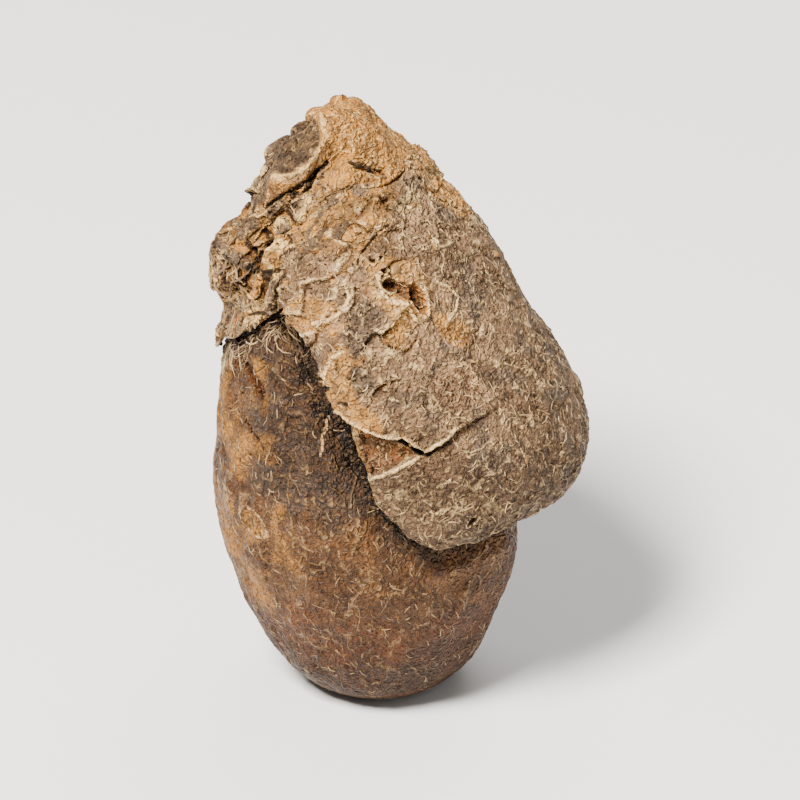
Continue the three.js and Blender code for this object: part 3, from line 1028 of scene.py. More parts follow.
@dataclass
class InnerScale(Carving):
    """The round, reddish brown scale that the bulb stands on."""

    part: Part = Part.INNER
    finish: Finish = INNER_FINISH
    name: str = "inner_scale_skin"
    seed: int = 11
    voxel: float = 0.152
    keep: float = 0.63
    reach: float = 6.0
    touching: tuple[tuple[Part, float], ...] = ((Part.OUTER, 0.45), (Part.PLATE, 0.45))
    wrinkles: Streaks = Streaks(unit((0, 0, 1)), width=0.9, share=0.17, meander=5.0, wander=1.2)
    sweep: Streaks = Streaks(unit((0.6, 0.0, -0.8)), width=0.42, share=0.3, meander=1.6, wander=0.4)
    folds: Streaks = Streaks(unit((0.2, 0.2, 1.0)), width=1.7, share=0.35, meander=2.0, wander=0.7)
    rust_groove: Line = Line(((-10.1, 24.6), (-9.7, 22.8), (-9.1, 21.3), (-8.4, 20.0)), 0.4, 0.5)
    crease: Line = Line(((-9.5, 18.1), (-9.1, 17.3), (-8.6, 16.7)), 0.13, 0.2)
    chip: Oval = Oval((-9.0, 10.75), (1.2, 0.5), -52, 0.16)
    hollow: Line = Line(((-5.6, 23.6), (-4.4, 20.5), (-3.0, 17.4), (-1.6, 14.8)), 1.5, 0.4)
    thread: Line = Line(((-3.6, 18.4), (-3.75, 17.6), (-4.05, 16.9), (-4.0, 16.2), (-4.2, 15.6)), 0.11, 0.12)

    def _carve(self, relief: Relief, grain: Grain) -> None:
        """Dents, wrinkles that run down the scale, grooves, and the hollow beside the outer scale."""
        points, height = relief.points, relief.points[:, 2]
        foot = ease(height, 0.2, 3.0)
        self.streaks = grain.layered(self.wrinkles.lay(grain, points), 2)
        self.strokes = grain.layered(self.sweep.lay(grain, points), 2)
        self.pits = ease(grain.layered(grain.warped(points, 1.0, 0.3) / 0.9, 2), 0.30, 0.65)
        relief.push += foot * 0.12 * grain.layered(points / 2.8)
        relief.push += foot * 0.10 * self.streaks
        relief.push += foot * 0.055 * self.strokes
        relief.push -= foot * (0.05 + 0.11 * ease(height, 10.0, 20.0)) * self.pits
        relief.push += foot * 0.04 * grain.smooth(points / 0.4)
        relief.push += 0.20 * ease(height, 19.0, 26.0) * (grain.ridged(self.folds.lay(grain, points)) - 0.5)
        relief.score(self.rust_groove, 0.45, 0.15, 0.0)
        relief.score(self.crease, 0.7, 0.5, 0.3)
        self.beside = relief.away_from(self.hollow, 3.0)
        relief.push -= self.hollow.depth * ease(self.beside, self.hollow.half_width, 0.0)
        relief.sink(self.chip, 0.0)
        self.threaded = relief.rib(self.thread)

    def _paint(self, relief: Relief, grain: Grain) -> None:
        """Grey above, partly a painted sheen; rusty below; painted shade in the cleft, under the outer scale
        and towards the bottom; dark where soil has stuck.
        """
        points, across = relief.points, relief.plane[:, 0]
        patches = grain.layered(points / 3.2)
        height = points[:, 2] + 2.5 * patches
        # soil, with painted shade in the hollow beside the outer scale
        soil = ease(grain.layered(points / 1.3) + 0.8 * ease(self.beside, 1.7, 0.2), 0.5, 0.95)
        chipped = relief.patch(self.chip)
        # painted shade beside the other pieces and in the upper pits, and soil
        relief.paint(
            Mask.SHADE_AND_SOIL,
            ease(self.gap, 0.9, 0.5) + 0.3 * ease(self.gap, 2.0, 0.6),
            0.9 * soil * ease(self.beside, 2.6, 0.9),
            0.5 * self.pits * ease(points[:, 2], 14.0, 22.0),
        )
        relief.masks[Mask.SHADE_AND_SOIL] *= 1 - self.threaded
        # painted shade under the outer scale, towards the bottom and in the troughs of the streaks, and
        # darker upper skin
        relief.paint(
            Mask.SHADE_AND_SOAK,
            0.85 * ease(self.gap, 3.2, 0.8),
            0.6 * ease(height, 15.0, 23.0) * ease(across, -10.0, -7.5),
            0.9 * ease(height, 11.0, 1.0),
            0.6 * ease(-self.strokes, 0.2, 0.6) + 0.4 * ease(-self.streaks, 0.1, 0.6),
        )
        # grey upper skin, partly a painted sheen
        relief.paint(Mask.GREY, ease(height, 15.0, 22.0) * ease(across, -10.5, -8.0))
        rusted = ease(relief.away_from(self.rust_groove, 2.0), 0.8, 0.3)
        relief.paint(Mask.RUST, 0.9 * ease(height, 13.0, 5.0), rusted)
        relief.paint(Mask.GOLD, 0.7 * ease(patches - 0.09 * across, 0.7, 1.2), chipped)
        # pale chip and thread, and painted highlight on the crests of the streaks and strokes
        relief.paint(
            Mask.CREAM,
            0.22 * chipped,
            0.25 * ease(self.streaks, 0.35, 0.8) * (1 - self.pits),
            0.3 * grain.patchy(points, 1.7, -0.3, 0.3, 3) * ease(self.strokes, 0.3, 0.7),
            self.threaded,
        )


@dataclass
class OuterScale(Carving):
    """The thick, crusty, grey-brown scale that clasps the front and the right side."""

    part: Part = Part.OUTER
    finish: Finish = OUTER_FINISH
    name: str = "outer_scale_skin"
    seed: int = 21
    voxel: float = 0.126
    keep: float = 0.57
    reach: float = 9.0
    touching: tuple[tuple[Part, float], ...] = ((Part.INNER, 0.5), (Part.PLATE, 0.36))
    torn: Line = Line(
        (
            (-2.6, 18.7), (-1.2, 17.6), (-0.1, 17.0), (0.9, 16.7), (1.7, 16.6), (2.4, 16.15), (3.1, 15.7),
            (3.6, 15.95), (4.9, 16.6), (5.4, 17.3), (6.8, 18.2), (8.4, 19.0), (10.2, 19.9),
        ),
        0.3,
        0.5,
    )
    above_tear: tuple[Point, ...] = ((16.0, 20.5), (16.0, 46.0), (-12.0, 46.0), (-12.0, 24.0), (-3.6, 20.0))
    recess: Line = Line(
        (
            (-1.6, 17.6), (-0.1, 17.0), (0.9, 16.7), (1.7, 16.5), (3.1, 15.7), (2.1, 15.2), (0.9, 14.6),
            (-0.7, 14.0), (-1.6, 14.4), (-2.0, 16.4), (-1.6, 17.6),
        ),
        0.2,
        0.5,
    )
    cracks: tuple[Line, ...] = (
        Line(((1.6, 16.7), (2.2, 16.3), (3.0, 15.8)), 0.17, 0.8),
        Line(((1.9, 35.4), (3.4, 34.4), (4.8, 33.6), (6.0, 32.8)), 0.16, 0.4),
        Line(((-1.5, 29.0), (-1.3, 29.8), (-0.7, 30.4), (-0.1, 31.2), (0.5, 31.6)), 0.09, 0.22),
    )
    kidney: Line = Line(((0.7, 27.6), (1.5, 27.4), (2.3, 27.1)), 0.6, 0.35)
    kidney_ends: tuple[Oval, ...] = (
        Oval((0.8, 27.6), (0.6, 0.5), 0, 0.5),
        Oval((2.8, 26.6), (1.15, 0.45), -68, 0.75),
    )
    kidney_pad: Oval = Oval((1.4, 25.6), (1.2, 0.9), -30)
    hems: tuple[Line, ...] = (
        Line(((-6.3, 27.6), (-6.6, 26.0), (-6.3, 24.6), (-5.4, 24.1), (-4.6, 24.3)), 0.17, 0.14),
        Line(((-2.4, 27.8), (-2.1, 26.7), (-2.5, 25.8), (-3.4, 25.2), (-4.6, 24.9)), 0.15, 0.14),
        Line(
            ((-2.6, 22.9), (-3.4, 22.4), (-3.8, 21.3), (-3.8, 20.0), (-3.2, 18.8), (-2.2, 17.7)), 0.17, 0.14
        ),
        Line(((-0.1, 28.2), (0.2, 27.0), (0.8, 26.4), (1.7, 26.3), (2.2, 25.7), (2.6, 25.1)), 0.17, 0.2),
        Line(((3.9, 27.9), (4.9, 27.5), (5.5, 26.8), (5.4, 25.9), (4.8, 25.0)), 0.14, 0.1),
    )
    band: Line = Line(((-2.2, 22.6), (-3.0, 21.2), (-3.0, 19.9), (-2.2, 18.7), (-0.9, 17.7)), 1.2, 0.15)
    marks: tuple[Oval, ...] = (
        Oval((-1.9, 21.3), (0.55, 0.4), 30),
        Oval((-2.5, 19.5), (0.3, 0.22), 0),
        Oval((-1.3, 20.2), (0.35, 0.5), 0),
        Oval((-2.9, 21.9), (0.25, 0.35), 0),
    )
    warm: tuple[Oval, ...] = (
        Oval((0.3, 28.9), (1.5, 1.1), 0),
        Oval((1.9, 26.2), (2.1, 1.5), -30),
        Oval((-4.6, 25.5), (2.0, 1.6), 0),
        Oval((5.4, 24.4), (2.0, 1.0), -35),
        Oval((-2.4, 19.4), (2.4, 1.1), -55),
    )
    cool: tuple[Oval, ...] = (
        Oval((-1.3, 24.5), (2.4, 1.6), 75),
        Oval((-1.0, 20.8), (1.5, 0.9), -50),
        Oval((-0.6, 33.4), (3.9, 1.3), 20),
    )
    rusty: Oval = Oval((5.6, 20.4), (3.4, 2.0), 15)
    speck: Oval = Oval((3.9, 30.6), (0.65, 0.28), -50)
    strip: Oval = Oval((3.0, 36.3), (5.8, 1.2), -48)
    strip_strands: Streaks = Streaks(
        unit((0.67, -0.37, -0.64)), width=0.6, share=0.15, meander=1.5, wander=0.2
    )
    furrows: Streaks = Streaks(unit((0.77, 0.2, -0.6)), width=1.5, share=0.3, meander=2.5, wander=0.8)
    pits: tuple[Oval, ...] = (
        Oval((0.35, 28.6), (0.3, 0.24), 0, 0.4),
        Oval((-0.5, 29.4), (0.34, 0.2), -30, 0.35),
        Oval((0.1, 29.6), (0.18, 0.16), 0, 0.25),
        Oval((-3.6, 20.4), (0.3, 0.2), -20, 0.25),
        Oval((-2.2, 19.3), (0.22, 0.2), 0, 0.2),
        Oval((6.6, 10.9), (0.5, 0.2), 35, 0.25),
    )
    skin_flakes: Flaking = Flaking(length=3.0, width=2.3, tilt=0.18, jump=0.30, wander=0.95, rim=0.22)
    small_flakes: Flaking = Flaking(length=1.3, width=1.0, tilt=0.09, jump=0.15, wander=0.6, rim=0.15)

    def _carve(self, relief: Relief, grain: Grain) -> None:
        """The torn top skin, its flaking layers, cracks and pits."""
        points = relief.points
        across, up = relief.plane.T
        self.standoff, self.crust_gap = self.gaps[Part.INNER], self.gaps[Part.PLATE]
        outside = ease(self.standoff, 0.8, 1.5)
        split = 2.0 - across + 2.0 * grain.smooth(points / 3.5)
        front = relief.facing * ease(split, -2.2, 2.2) * ease(up, 17.5, 21.0)
        self.banded = relief.facing * ease(relief.away_from(self.band, 2.5), 1.5, 0.8)
        self.bark = outside * np.maximum(front, ease(self.crust_gap, 6.5, 1.5)) * (1 - 0.75 * self.banded)
        relief.push += 0.12 * outside * grain.layered(points / 3.2, 2)
        self.level, rim, foot = self.skin_flakes.lay(grain, points)
        strength = np.maximum(self.bark, 0.18 * outside)
        relief.push += strength * self.level
        self.rim, self.foot = rim * strength, foot * strength
        small, rim, foot = self.small_flakes.lay(Grain(self.seed + 2), points)
        relief.push += (0.45 + 0.55 * self.bark) * outside * small
        self.small_rim, self.small_foot = rim * outside, foot * outside
        relief.push += 0.045 * outside * grain.smooth(points / 0.36)
        self.wrinkles = grain.ridged(self.furrows.lay(grain, points))
        relief.push += 0.22 * outside * (1 - self.bark) * (self.wrinkles - 0.6)
        self.fibrous = ease(self.strip.share(relief.plane), 1.1, 0.7) * outside * relief.toward(-0.4, 0)
        strands = grain.ridged(self.strip_strands.lay(grain, points))
        relief.push += 0.16 * self.fibrous * (strands - 0.5)
        beside = outside * ease(self.crust_gap, 0.1, 0.4) * ease(self.crust_gap, 3.0, 0.8)
        relief.push += (0.1 + 0.65 * grown_together(points)) * beside
        self._tear(relief, outside)
        self.pad = relief.patch(self.kidney_pad, outer=1.2, inner=0.2)
        relief.push += 0.3 * self.pad + self.band.depth * self.banded
        relief.score(self.kidney, 0.2, 0.4)
        for end in self.kidney_ends:
            relief.sink(end, 0.5)
        self.hemmed = np.maximum.reduce([relief.rib(hem) for hem in self.hems])
        for crack in self.cracks:
            relief.score(crack)
        for pit in self.pits:
            relief.sink(pit)

    def _tear(self, relief: Relief, outside: np.ndarray) -> None:
        """The step down from the torn edge of the top skin, which fades out to the right."""
        upper = inside_outline(relief.plane, (*self.torn.points, *self.above_tear))
        away = relief.away_from(self.torn, 2.5)
        near = relief.facing * outside * (away < 2.5) * ease(relief.plane[:, 0], 9.5, 5.5)
        signed = np.where(upper, away, -away) + 0.12 * relief.rough
        relief.push += near * self.torn.depth * (ease(signed, -0.05, 0.1) - 0.5) * ease(away, 2.5, 1.2)
        faded = 0.3 + 0.7 * ease(relief.plane[:, 0], 6.0, 4.0)
        # a pale brink on the torn edge, and painted shadow at the foot of the step below it
        self.skin_brink = faded * near * bell(signed, 0.17, 0.13)
        self.skin_foot = faded * near * bell(signed, -0.14, 0.14)
        relief.push += 0.16 * self.skin_brink - 0.16 * self.skin_foot
        sunk = inside_outline(relief.plane, self.recess.points)
        away = relief.away_from(self.recess, 1.0)
        signed = np.where(sunk, away, -away) + 0.1 * relief.rough
        self.sunk = relief.facing * ease(signed, 0.0, 0.35)
        brink = relief.facing * (away < 1.0) * bell(signed, -0.14, 0.13)
        relief.push += 0.12 * brink - self.recess.depth * self.sunk
        self.skin_brink = np.maximum(self.skin_brink, brink)

    def _paint(self, relief: Relief, grain: Grain) -> None:
        """Pale torn edges, golden tan and grey patches, painted shade in the clefts and on the lower and
        right parts.
        """
        points = relief.points
        across, up = relief.plane.T
        patches = grain.layered(points / 2.6)
        warm = relief.patch(*self.warm, inner=0.6, ragged=0.35 * patches)
        cool = relief.patch(*self.cool, inner=0.6, ragged=0.35 * patches)
        rusty = relief.patch(self.rusty, inner=0.4, ragged=0.35 * patches)
        # painted shade on the lower part of the scale
        shade = ease(up, 17.5, 13.0) * relief.facing
        in_sight = relief.toward(-0.3, 0.0)
        left_edge = ease(across, 5.0, 2.0) * ease(self.crust_gap, 1.0, 2.5)
        left_rim = ease(self.standoff, 2.8, 1.4) * in_sight * ease(across, 3.0, -1.0)
        kidney = ease(relief.away_from(self.kidney, 1.0), 0.55, 0.4)
        inside = np.maximum(kidney, relief.patch(*self.kidney_ends, outer=1.0, inner=0.8))
        # pale torn edges and hems, partly painted highlight on the rims
        relief.paint(
            Mask.CREAM,
            0.6 * self.rim * grain.patchy(points, 1.4, -0.5, 0.2),
            0.4 * self.small_rim * grain.patchy(points, 0.9, -0.2, 0.3),
            0.9 * self.hemmed,
            self.skin_brink,
            0.9 * bell(self.standoff, 1.4, 0.3) * in_sight * left_edge,
            relief.patch(self.speck, outer=1.0, ragged=0.4 * relief.rough),
            0.35 * self.pad,
        )
        relief.masks[Mask.CREAM] *= 1 - inside
        # painted shadow at the feet of steps, under the torn skin, beside the inner scale and under the
        # crust's skirt, and dark marks
        relief.paint(
            Mask.SHADE_AND_SOIL,
            0.6 * self.foot * grain.patchy(points, 1.8, -0.3, 0.4, 5),
            0.5 * relief.patch(*self.marks, inner=0.6, ragged=0.4 * relief.rough),
            ease(self.standoff, 0.8, 0.5),
            0.9 * self.skin_foot,
            0.7 * ease(self.crust_gap, 0.6, 0.4) * (1 - grown_together(points)),
        )
        # painted shade at the feet of steps, in the troughs, on the lower part and towards the right, and
        # darker grey and rusty patches
        relief.paint(
            Mask.SHADE_AND_SOAK,
            self.foot,
            0.7 * self.small_foot,
            0.5 * ease(self.wrinkles, 0.35, 0.1) * (1 - self.bark),
            0.45 * cool,
            0.4 * rusty,
            0.7 * self.sunk * grain.patchy(points, 0.7, -0.2, 0.3),
            0.85 * shade + 0.35 * ease(across, 8.0, 13.0),
        )
        # grey patches, and painted shade on the lower part
        relief.paint(Mask.GREY, ease(-patches, 0.0, 0.4), cool, 0.3 * shade)
        relief.paint(Mask.RUST, 0.3 * rusty, 0.7 * self.sunk, inside)
        relief.paint(
            Mask.GOLD,
            self.banded,
            0.8 * self.bark * ease(patches, 0.25, 0.6),
            0.8 * self.bark * ease(self.level, -0.05, -0.18),
            0.35 * ease(patches, 0.3, 0.7),
        )
        relief.masks[Mask.GOLD] *= 1 - cool
        relief.paint(Mask.GOLD, 0.7 * warm, 0.5 * self.pad, 0.7 * self.fibrous, 0.9 * left_rim)


@dataclass
class RootPlate(Carving):
    """The cracked, corky crust at the upper left end, with its skirt over both scales."""

    part: Part = Part.PLATE
    finish: Finish = PLATE_FINISH
    name: str = "root_plate_crust"
    seed: int = 31
    voxel: float = 0.108
    keep: float = 0.83
    reach: float = 3.0
    touching: tuple[tuple[Part, float], ...] = ((Part.INNER, 0.4), (Part.OUTER, 0.4))
    smoothing: int = 5
    hanging_cords: Streaks = Streaks(VIEW.upward, width=0.55, share=0.18, meander=1.5, wander=0.4)
    end_strands: Streaks = Streaks(CRUST_ALONG, width=0.5, share=0.14, meander=1.5, wander=0.25)
    cracks: tuple[Line, ...] = (
        Line(((-5.3, 29.5), (-4.2, 29.8), (-3.2, 30.6)), 0.24, 0.8),
        Line(((-7.9, 30.4), (-6.8, 31.2), (-5.6, 31.5), (-4.6, 32.2)), 0.18, 0.6),
        Line(((-2.0, 36.15), (-1.3, 36.0), (-0.5, 35.7), (0.2, 35.5)), 0.34, 0.9),
        Line(((-6.2, 29.8), (-6.6, 28.9), (-7.0, 28.0), (-7.2, 27.0), (-7.1, 25.9)), 0.28, 0.8),
        Line(((-8.3, 30.0), (-9.0, 28.9), (-9.5, 27.5)), 0.16, 0.45),
        Line(((-4.2, 33.4), (-3.2, 34.2), (-2.4, 35.4)), 0.16, 0.5),
        Line(((-8.2, 33.0), (-6.6, 34.2), (-5.2, 34.9), (-3.6, 36.4)), 0.16, 0.5),
    )
    scar: Oval = Oval((-5.85, 37.4), (2.5, 1.4), 52, 0.12)
    nub: Oval = Oval((-2.3, 39.2), (1.5, 2.4), 15)
    stub: Line = Line(((-6.7, 30.6), (-7.3, 29.7), (-7.9, 28.5), (-8.3, 27.2)), 0.8, 0.85)
    stub_top: Oval = Oval((-6.8, 30.3), (0.7, 0.45), 25)
    stub_hole: Oval = Oval((-6.8, 30.4), (0.2, 0.15), 0, 0.3)
    twig: Line = Line(((-11.4, 30.5), (-10.2, 29.8), (-9.0, 29.0)), 0.55, 0.65)
    taupe: Oval = Oval((-2.2, 33.5), (2.8, 1.2), 22)
    blocks: Blocks = Blocks(length=3.6, width=2.3, swell=0.75, jump=0.55, wander=0.9, shoulder=0.75)
    plates: Flaking = Flaking(length=3.2, width=1.5, tilt=0.34, jump=0.3, wander=0.7, rim=0.2)
    chips: Flaking = Flaking(length=1.2, width=0.85, tilt=0.08, jump=0.13, wander=0.4, rim=0.13)

    def _carve(self, relief: Relief, grain: Grain) -> None:
        """Long folded plates that overlap, cracks, strands at the left end and a fibrous right end."""
        points = relief.points
        along = (points - CRUST_MIDDLE) @ CRUST_ALONG
        self.left_end = ease(along, -3.5, -6.5)
        self.right_end = ease(along, 2.0, 5.0)
        free = ease(self.gap, 0.45, 0.9)
        knob = ease(self.nub.share(relief.plane), 1.25, 0.8)
        bare = ease(self.scar.share(relief.plane), 1.7, 1.1)
        share = self.scar.share(relief.plane) + 0.07 * relief.rough
        self.scarred = relief.facing * ease(share, 1.05, 0.85)
        self.scar_rim = relief.toward(0.3, 0.6) * bell(share, 1.14, 0.1)
        calm = free * (1 - 0.75 * self.right_end) * (1 - 0.9 * np.maximum(knob, bare))
        height, cleft, self.own = self.blocks.lay(Grain(self.seed + 4), points)
        relief.push += calm * (1 - 0.6 * self.left_end) * height + 0.3 * knob + 0.45 * bare
        self.cleft = cleft * calm
        relief.push += 0.2 * self.scar_rim - self.scar.depth * self.scarred
        self.level, rim, foot = self.plates.lay(grain, points)
        relief.push += 0.7 * calm * (1 - 0.5 * self.left_end) * self.level
        self.rim, self.foot = rim * calm, foot * calm
        chips, rim, foot = self.chips.lay(Grain(self.seed + 2), points)
        relief.push += calm * (1 - 0.4 * self.left_end) * chips
        self.chip_rim, self.chip_foot = rim * calm, foot * calm
        self.hanging = grain.ridged(self.hanging_cords.lay(grain, points))
        relief.push += 0.26 * self.left_end * free * (self.hanging - 0.5)
        self.fibrous = grain.ridged(self.end_strands.lay(grain, points))
        relief.push += 0.12 * self.right_end * free * (self.fibrous - 0.5)
        relief.push += 0.04 * free * grain.layered(points / 0.4, 2)
        self.stubby = relief.rib(self.stub)
        self.twiggy = relief.rib(self.twig)
        relief.sink(self.stub_hole)
        for crack in self.cracks:
            relief.score(crack, 1.0, 0.25, 0.25)

    def _paint(self, relief: Relief, grain: Grain) -> None:
        """Golden plates with pale rims, partly painted highlight, painted shade at the steps and in the
        clefts, cracks and skirt's gap, grey islands and a grey scar.
        """
        points, left_end, middle = relief.points, self.left_end, 1 - self.right_end
        patches = grain.layered(points / 2.2)
        hem = bell(self.gap, 0.95, 0.2) * relief.toward(-0.3, 0.0) * middle
        island = ease(self.own, 0.72, 0.55) * middle * (1 - self.cleft)
        island = np.maximum(island, relief.patch(self.taupe, ragged=0.3 * patches))
        dull = np.maximum(self.scarred, self.twiggy)
        # painted shade at the steps, in the clefts, under the skirt and between the hanging cords, and dark
        # patches on the scar
        relief.paint(
            Mask.SHADE_AND_SOIL,
            0.7 * self.foot * grain.patchy(points, 1.8, -0.2, 0.4, 5),
            0.95 * ease(self.cleft, 0.55, 0.95) * grain.patchy(points, 2.0, -0.4, 0.2, 7),
            0.9 * ease(self.gap, 0.6, 0.42) * (1 - 0.8 * grown_together(points)),
            0.7 * left_end * ease(self.hanging, 0.35, 0.1),
            0.4 * self.scarred * grain.patchy(points, 0.9, -0.5, 0.3, 4),
        )
        # painted shade at the steps, and dark blocks, scar and twig
        relief.paint(
            Mask.SHADE_AND_SOAK,
            0.8 * self.foot,
            0.7 * self.chip_foot,
            0.45 * ease(self.own, 0.3, 0.2) * middle,
            0.75 * self.scarred + 0.15 * self.twiggy,
        )
        # pale rims, skirt edge and crests of the cords and strands, partly painted highlight, and the pale
        # scar rim and stub top
        relief.paint(
            Mask.CREAM,
            0.6 * self.rim * grain.patchy(points, 1.1, -0.4, 0.2),
            0.3 * self.chip_rim * grain.patchy(points, 0.8, -0.1, 0.3),
            0.7 * hem * grain.patchy(points, 1.5, -0.5, 0.1, 2),
            0.5 * left_end * ease(self.hanging, 0.7, 0.95),
            0.5 * self.right_end * ease(self.fibrous, 0.75, 0.95),
            0.55 * self.scar_rim,
            0.8 * relief.patch(self.stub_top),
        )
        relief.masks[Mask.CREAM] *= 1 - 0.8 * dull
        golden = ease(patches, 0.25, 0.6), 0.8 * ease(self.level, -0.02, -0.18)
        relief.paint(Mask.GOLD, ease(self.cleft, 0.05, 0.4), 0.85 * self.right_end, *golden)
        relief.masks[Mask.GOLD] *= 1 - 0.8 * island
        relief.paint(Mask.GOLD, 0.9 * self.stubby)
        relief.masks[Mask.GOLD] *= 1 - dull
        relief.paint(Mask.GREY, 0.9 * island, dull)
        relief.paint(Mask.RUST, 0.8 * grain.patchy(points, 1.3, 0.45, 0.8, 9) * (1 - dull))


# ---------------------------------------------------------------------------------------------
# Small things set on the surfaces


def tone_points(mesh: bpy.types.Mesh, tones: np.ndarray) -> None:
    """Stores a tone for every point of a mesh whose things all have the same number of points."""
    layer = mesh.attributes.new("tone", "FLOAT", "POINT")
    layer.data.foreach_set("value", np.repeat(tones, len(mesh.vertices) // len(tones)).astype(np.float32))


@dataclass
class Strewn:
    """Many small loose things that are set on a carved surface. Lengths in mm."""

    finish: ClassVar[ChipFinish]
    name: str
    count: int
    seed: int

    def build(self, ground: Ground, weights: np.ndarray) -> bpy.types.Object:
        """Sets the things.

        Args:
            ground: the surface.
            weights: how likely each of its points is to have one.

        Returns:
            The piece that holds them all.
        """
        draw = np.random.default_rng(self.seed)
        return new_piece(self.name, self._shape(ground, ground.pick(draw, weights, self.count), draw))


@dataclass
class Fibres(Strewn):
    """Short pale curls of dried fibre that lie on a surface."""

    finish: ClassVar[ChipFinish] = FIBRE_FINISH
    length: tuple[float, float] = (0.5, 1.3)
    radius: tuple[float, float] = (0.026, 0.055)
    bend: float = 2.2  # radians that a curl turns from end to end, at most
    swept: float = 0.0  # 1 for curls that all run down the bulb, 0 for any direction
    slant: float = 0.0  # radians between straight down and the way that swept curls run
    pale: tuple[float, float] = (0.25, 1.0)
    rise: tuple[float, ...] = (-1.0, -0.3, -0.1, -0.3, -1.0)  # in radii, from end to end
    swell: tuple[float, ...] = (0.4, 1.0, 1.1, 0.9, 0.35)

    def _shape(self, ground: Ground, spots: np.ndarray, draw: np.random.Generator) -> bpy.types.Mesh:
        """A mesh of thin rounded curls, one at each of the spots."""
        curve = bpy.data.curves.new(self.name, "CURVE")
        curve.dimensions = "3D"
        curve.bevel_depth = MM
        curve.bevel_resolution = 0
        curve.use_fill_caps = True
        for i in spots:
            self._lay(curve, ground, i, draw)
        mesh = settled(linked(self.name, curve))
        bpy.data.curves.remove(curve)
        tone_points(mesh, draw.uniform(*self.pale, self.count))
        return mesh

    def _lay(self, curve: bpy.types.Curve, ground: Ground, i: int, draw: np.random.Generator) -> None:
        """Adds one curl to the curve."""
        normal, down = ground.normals[i], ground.down(i)
        side = np.cross(normal, down)
        angle = draw.normal(self.slant, 0.5) if draw.random() < self.swept else draw.uniform(0, math.tau)
        count = len(self.rise)
        step = draw.uniform(*self.length) / (count - 1)
        turn = draw.uniform(-1, 1) * self.bend / (count - 1)
        radius = draw.uniform(*self.radius)
        spot = ground.points[i] + draw.uniform(-0.06, 0.06, 3)
        spline = curve.splines.new("POLY")
        spline.points.add(count - 1)
        for point, rise, swell in zip(spline.points, self.rise, self.swell):
            place = (ground.nearest(spot) + normal * radius * rise) * MM
            point.co = (*place, 1)
            point.radius = radius * swell
            spot = spot + step * (math.cos(angle) * down + math.sin(angle) * side)
            angle += turn


@dataclass
class Crumbs(Strewn):
    """Small broken grains of crust and soil."""

    finish: ClassVar[ChipFinish] = CRUMB_FINISH
    size: tuple[float, float] = (0.07, 0.22)
    pale: tuple[float, float] = (0.0, 0.8)

    def _shape(self, ground: Ground, spots: np.ndarray, draw: np.random.Generator) -> bpy.types.Mesh:
        """A mesh of uneven grains, one at each of the spots."""
        build = bmesh.new()
        for i in spots:
            size = draw.uniform(*self.size) * draw.uniform(0.6, 1.0)
            place = Vector((ground.points[i] + ground.normals[i] * 0.3 * size) * MM)
            turn = Vector(draw.normal(size=3)).to_track_quat("Z", "Y").to_matrix().to_4x4()
            shape = Matrix.Diagonal((*(draw.uniform(0.6, 1.3, 3) * size * MM), 1))
            matrix = Matrix.Translation(place) @ turn @ shape
            grains = bmesh.ops.create_icosphere(build, subdivisions=1, radius=1, matrix=matrix)
            for vert in grains["verts"]:
                vert.co += Vector(draw.uniform(-0.22, 0.22, 3) * size * MM)
        mesh = mesh_of(build, self.name)
        tone_points(mesh, draw.uniform(*self.pale, self.count) ** 1.5)
        return mesh


@dataclass
class Flakes(Strewn):
    """Thin scraps of skin that curl up off a surface."""

    finish: ClassVar[ChipFinish] = FLAKE_FINISH
    size: tuple[float, float] = (0.3, 0.7)
    thick: float = 0.06
    lift: tuple[float, float] = (3.0, 14.0)  # degrees
    curl: float = 0.2

    def _shape(self, ground: Ground, spots: np.ndarray, draw: np.random.Generator) -> bpy.types.Mesh:
        """A mesh of scraps, one at each of the spots, with one end of each sunk into the surface."""
        build = bmesh.new()
        tone = build.verts.layers.float.new("tone")
        for i in spots:
            own_tone = draw.uniform(0.1, 0.7)
            for vert in self._scrap(build, ground, i, draw):
                vert[tone] = own_tone
        bmesh.ops.solidify(build, geom=build.faces, thickness=self.thick * MM)
        bmesh.ops.recalc_face_normals(build, faces=build.faces)
        return mesh_of(build, self.name)

    def _scrap(
        self, build: bmesh.types.BMesh, ground: Ground, i: int, draw: np.random.Generator
    ) -> list[bmesh.types.BMVert]:
        """Adds one scrap and gives back its points."""
        verts = bmesh.ops.create_grid(build, x_segments=2, y_segments=2, size=0.5)["verts"]
        length = draw.uniform(*self.size)
        width = length * draw.uniform(0.45, 0.95)
        lift = math.radians(draw.uniform(*self.lift))
        normal, down = Vector(ground.normals[i]), Vector(ground.down(i))
        heading = Matrix.Rotation(draw.uniform(0, math.tau), 3, normal) @ down
        side = normal.cross(heading)
        tilted = Matrix.Rotation(-lift, 3, side) @ heading
        upward = tilted.cross(side)
        foot = Vector(ground.points[i]) - 0.12 * length * tilted
        skew, bow = draw.uniform(-0.3, 0.3, 2)
        for vert in verts:
            along, across = vert.co.x + 0.5, vert.co.y
            taper = 1 - 0.45 * along**2
            bent = self.curl * length * along**2 + bow * width * across**2
            spot = foot + tilted * along * length + side * (across * taper + skew * along) * width
            vert.co = (spot + upward * bent) * MM
        return verts


# ---------------------------------------------------------------------------------------------
# The studio


@dataclass(frozen=True)
class Lamp:
    """A soft square light that points at the bulb."""

    name: str
    azimuth: float
    elevation: float
    away: float
    size: float
    watts: float
    colour: Colour


